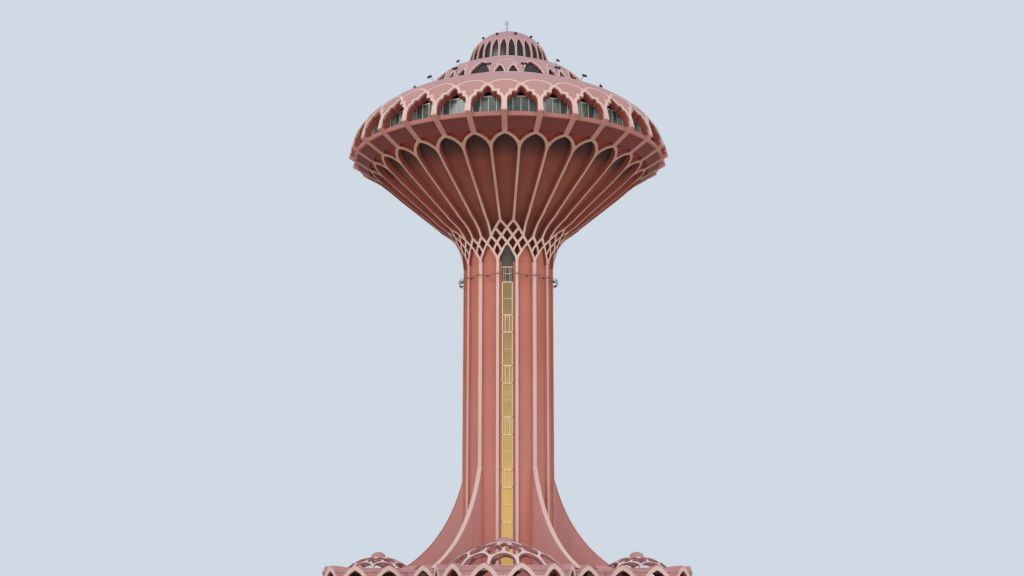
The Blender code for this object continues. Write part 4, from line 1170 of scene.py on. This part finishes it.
def arcadeBay(width, face, inner, crown=1.0):
    # One bay: the wall, its pale arch with imposts, and a barrel roof that runs in to the dome's kerb.
    opening, profile, half = mirrored(archOpening()), roofProfile(width), width / 2
    top = [(x, z - arcade["underRoof"]) for x, z in profile]
    wall = flatWall(face - arcade["proud"], arcade["wall"], [[(-half, 0), (half, 0)] + top], opening)
    edge = half - arcade["edge"]
    keep = [mirrored([(min(x, edge), min(max(z, 0.0), crown)) for x, z in archOpening(arcade["band"])])]
    low, high = arcade["impostLow"], arcade["impostHigh"]
    for side in (-1, 1):
        near, far = side * (arcade["half"] + 0.01), side * edge
        keep.append([(near, low), (far, low), (far, high), (near, high)])
    trim = flatWall(face, arcade["proud"] + arcade["bed"], keep, opening)
    rows = []
    for share in arcade["rows"]:
        r = face - arcade["roofBack"] + (inner - face) * share
        flatten = share * share * arcade["flatten"]
        rows.append([(x * r / face, -r, z + (arcade["eaves"] - z) * flatten - arcade["roofDrop"])
                     for x, z in profile])
    return wall, trim, loftRows(rows, arcade["slab"])


def domeLine(size, steps=16):
    # A part of a sphere from the canopy to the knob.
    rise = size["domeTop"] - arcade["eaves"]
    sphere = (size["domeR"] ** 2 + rise ** 2) / (2 * rise)
    lean, stop = asin(size["domeR"] / sphere), asin(size["knobR"] * 0.9 / sphere)
    angles = [lean + (stop - lean) * i / steps for i in range(steps + 1)]
    return SideLine([(sphere * sin(a), size["domeTop"] - sphere * (1 - cos(a))) for a in angles],
                    footCut=(1, 0))


# The three rows of a dome's openings: right halves, as (share of half a cell, share of the way to the knob)
domeRows = [
    [(0.89, 0.02), (0.895, 0.125), (0.83, 0.22), (0.64, 0.287), (0.35, 0.332), (0.0, 0.350)],
    [(0.0, 0.280), (0.34, 0.330), (0.67, 0.392), (0.85, 0.445), (0.83, 0.505), (0.67, 0.585), (0.38, 0.655),
     (0.0, 0.70)],
    [(0.0, 0.525), (0.36, 0.592), (0.68, 0.685), (0.70, 0.748), (0.45, 0.808), (0.0, 0.86)],
]
domeShell = 0.032
# the knob as (share of its radius, height over its foot), and the kerb as (out, up) from the dome's foot
knobProfile = [(1.17, -0.004), (1.20, 0.010), (1.12, 0.032), (0.88, 0.056), (0.50, 0.074)]
kerbSection = [(-0.05, -0.035), (0.03, -0.035), (0.022, 0.004), (-0.045, 0.012)]


def knob(size):
    # The round cap on a dome, and the kerb that the dome stands on.
    r, foot = size["knobR"], domeLine(size).points[-1].y - 0.012
    profile = [(share * r, foot + z) for share, z in knobProfile]
    profile += [(0.0005, foot + 0.082), (0.0005, foot - 0.004)]
    cap = ringSection(profile, (0, 360), 12, close=False)
    kerb = [(size["domeR"] + out, arcade["eaves"] + z) for out, z in kerbSection]
    return joined([cap, ringSection(kerb, (0, 360), 6, close=False)], True)


def latticeDome(size):
    # Interlaced bars: rounded cells in three rows, each row half a cell further round than the one below.
    line = domeLine(size)
    half = 180 / size["cells"]
    cut = []
    for row, right in enumerate(domeRows):
        closed = right + [(-x, y) for x, y in reversed(right) if 0 < x]
        middles = (0,) if row % 2 == 0 else (-half, half)
        cut += [clamped([(m + x * half, y * line.length) for x, y in closed], -half, half) for m in middles]
    skin = shell(line, domeShell, (-half, half), cut, openEnds=True, step=2.5)
    return joined([turned(skin, 2 * half * i) for i in range(size["cells"])], True)


arcadeLook = ["arcadeRender", "reveal", "hallPaintedShade"]       # front, edges and back of an arcade's wall
canopyLook = ["arcadeRender", "hallPaintedShade"]                 # top and underside of its roof


def pavilionMeshes(size):
    count, inner = size["bays"], size["domeR"] - 0.03
    bay = 360 / count
    face = size["radius"] * cos(radians(bay / 2))
    width = 2 * size["radius"] * sin(radians(bay / 2))
    # the arches that open into a link end under its roof
    kinds = [arcadeBay(width, face, inner), arcadeBay(width, face, inner, arcade["valley"] - 0.012)]
    rings = [joined([turned(pair[n in size["linkBays"]], (n + 0.5) * bay) for n in range(count)])
             for pair in zip(*kinds)]
    return rings + [latticeDome(size), knob(size)]


def buildPavilions():
    meshes = {size["bays"]: pavilionMeshes(size) for size in (bigPavilion, smallPavilion)}
    for i in five:
        size = bigPavilion if i == 1 else smallPavilion
        azimuth = (i - 1) * sector
        spot = (azimuth, centreOf(size, azimuth))
        wall, trim, roofing, dome, cap = meshes[size["bays"]]
        piece(f"arcadeWall_{i}", wall, arcadeLook, "arcade_render", [f"pavilion_arcade_{i}"], *spot)
        piece(f"arcadeArches_{i}", trim, trimLook, "dome_render", (), *spot)
        piece(f"barrelRoof_{i}", roofing, canopyLook, "arcade_render", (), *spot)
        piece(f"latticeDome_{i}", dome, ["domeRender", "domeInside", "domeInside"], "dome_render",
              [f"lattice_dome_{i}"], *spot)
        piece(f"domeKnob_{i}", cap, ["arcadeRender"], "arcade_render", (), *spot)


# A link's walls stand at the face's distance from its middle line, and overlap is how far they run in
link = {"face": 0.25, "inner": 0.2, "roofHalf": 0.246, "overlap": 0.05}


def buildLinks():
    sizes = [bigPavilion] + [smallPavilion] * 4 + [bigPavilion]
    for i in range(5):
        near = Vector(centreOf(sizes[i], i * sector))
        far = Vector(centreOf(sizes[i + 1], (i + 1) * sector))
        run = (far - near).normalized()
        start, end = [size["radius"] * cos(radians(180 / size["bays"])) for size in sizes[i:i + 2]]
        width = (far - near).length - start - end + link["overlap"]
        spot = (degrees(atan2(run.y, run.x)), near + run * (start + (far - near).length - end) / 2)
        wall, trim, _ = arcadeBay(width, link["face"], link["inner"])
        walls, arches = [joined([turned(side, turn) for turn in (0, 180)]) for side in (wall, trim)]
        rows = [[(x, y, z - arcade["roofDrop"]) for x, z in roofProfile(width)]
                for y in (-link["roofHalf"], link["roofHalf"])]
        piece(f"linkWalls_{i + 1}", walls, arcadeLook, "arcade_render", [f"link_arcade_{i + 1}"], *spot)
        piece(f"linkArches_{i + 1}", arches, trimLook, "dome_render", (), *spot)
        piece(f"linkRoof_{i + 1}", loftRows(rows, arcade["slab"]), canopyLook, "arcade_render", (), *spot)


buildPavilions()
buildLinks()
for node in ("ground_floor", "gallery_floor"):
    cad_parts[node].data.materials.clear()
    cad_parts[node].data.materials.append(finish["floorConcrete"])
print("pavilions made")
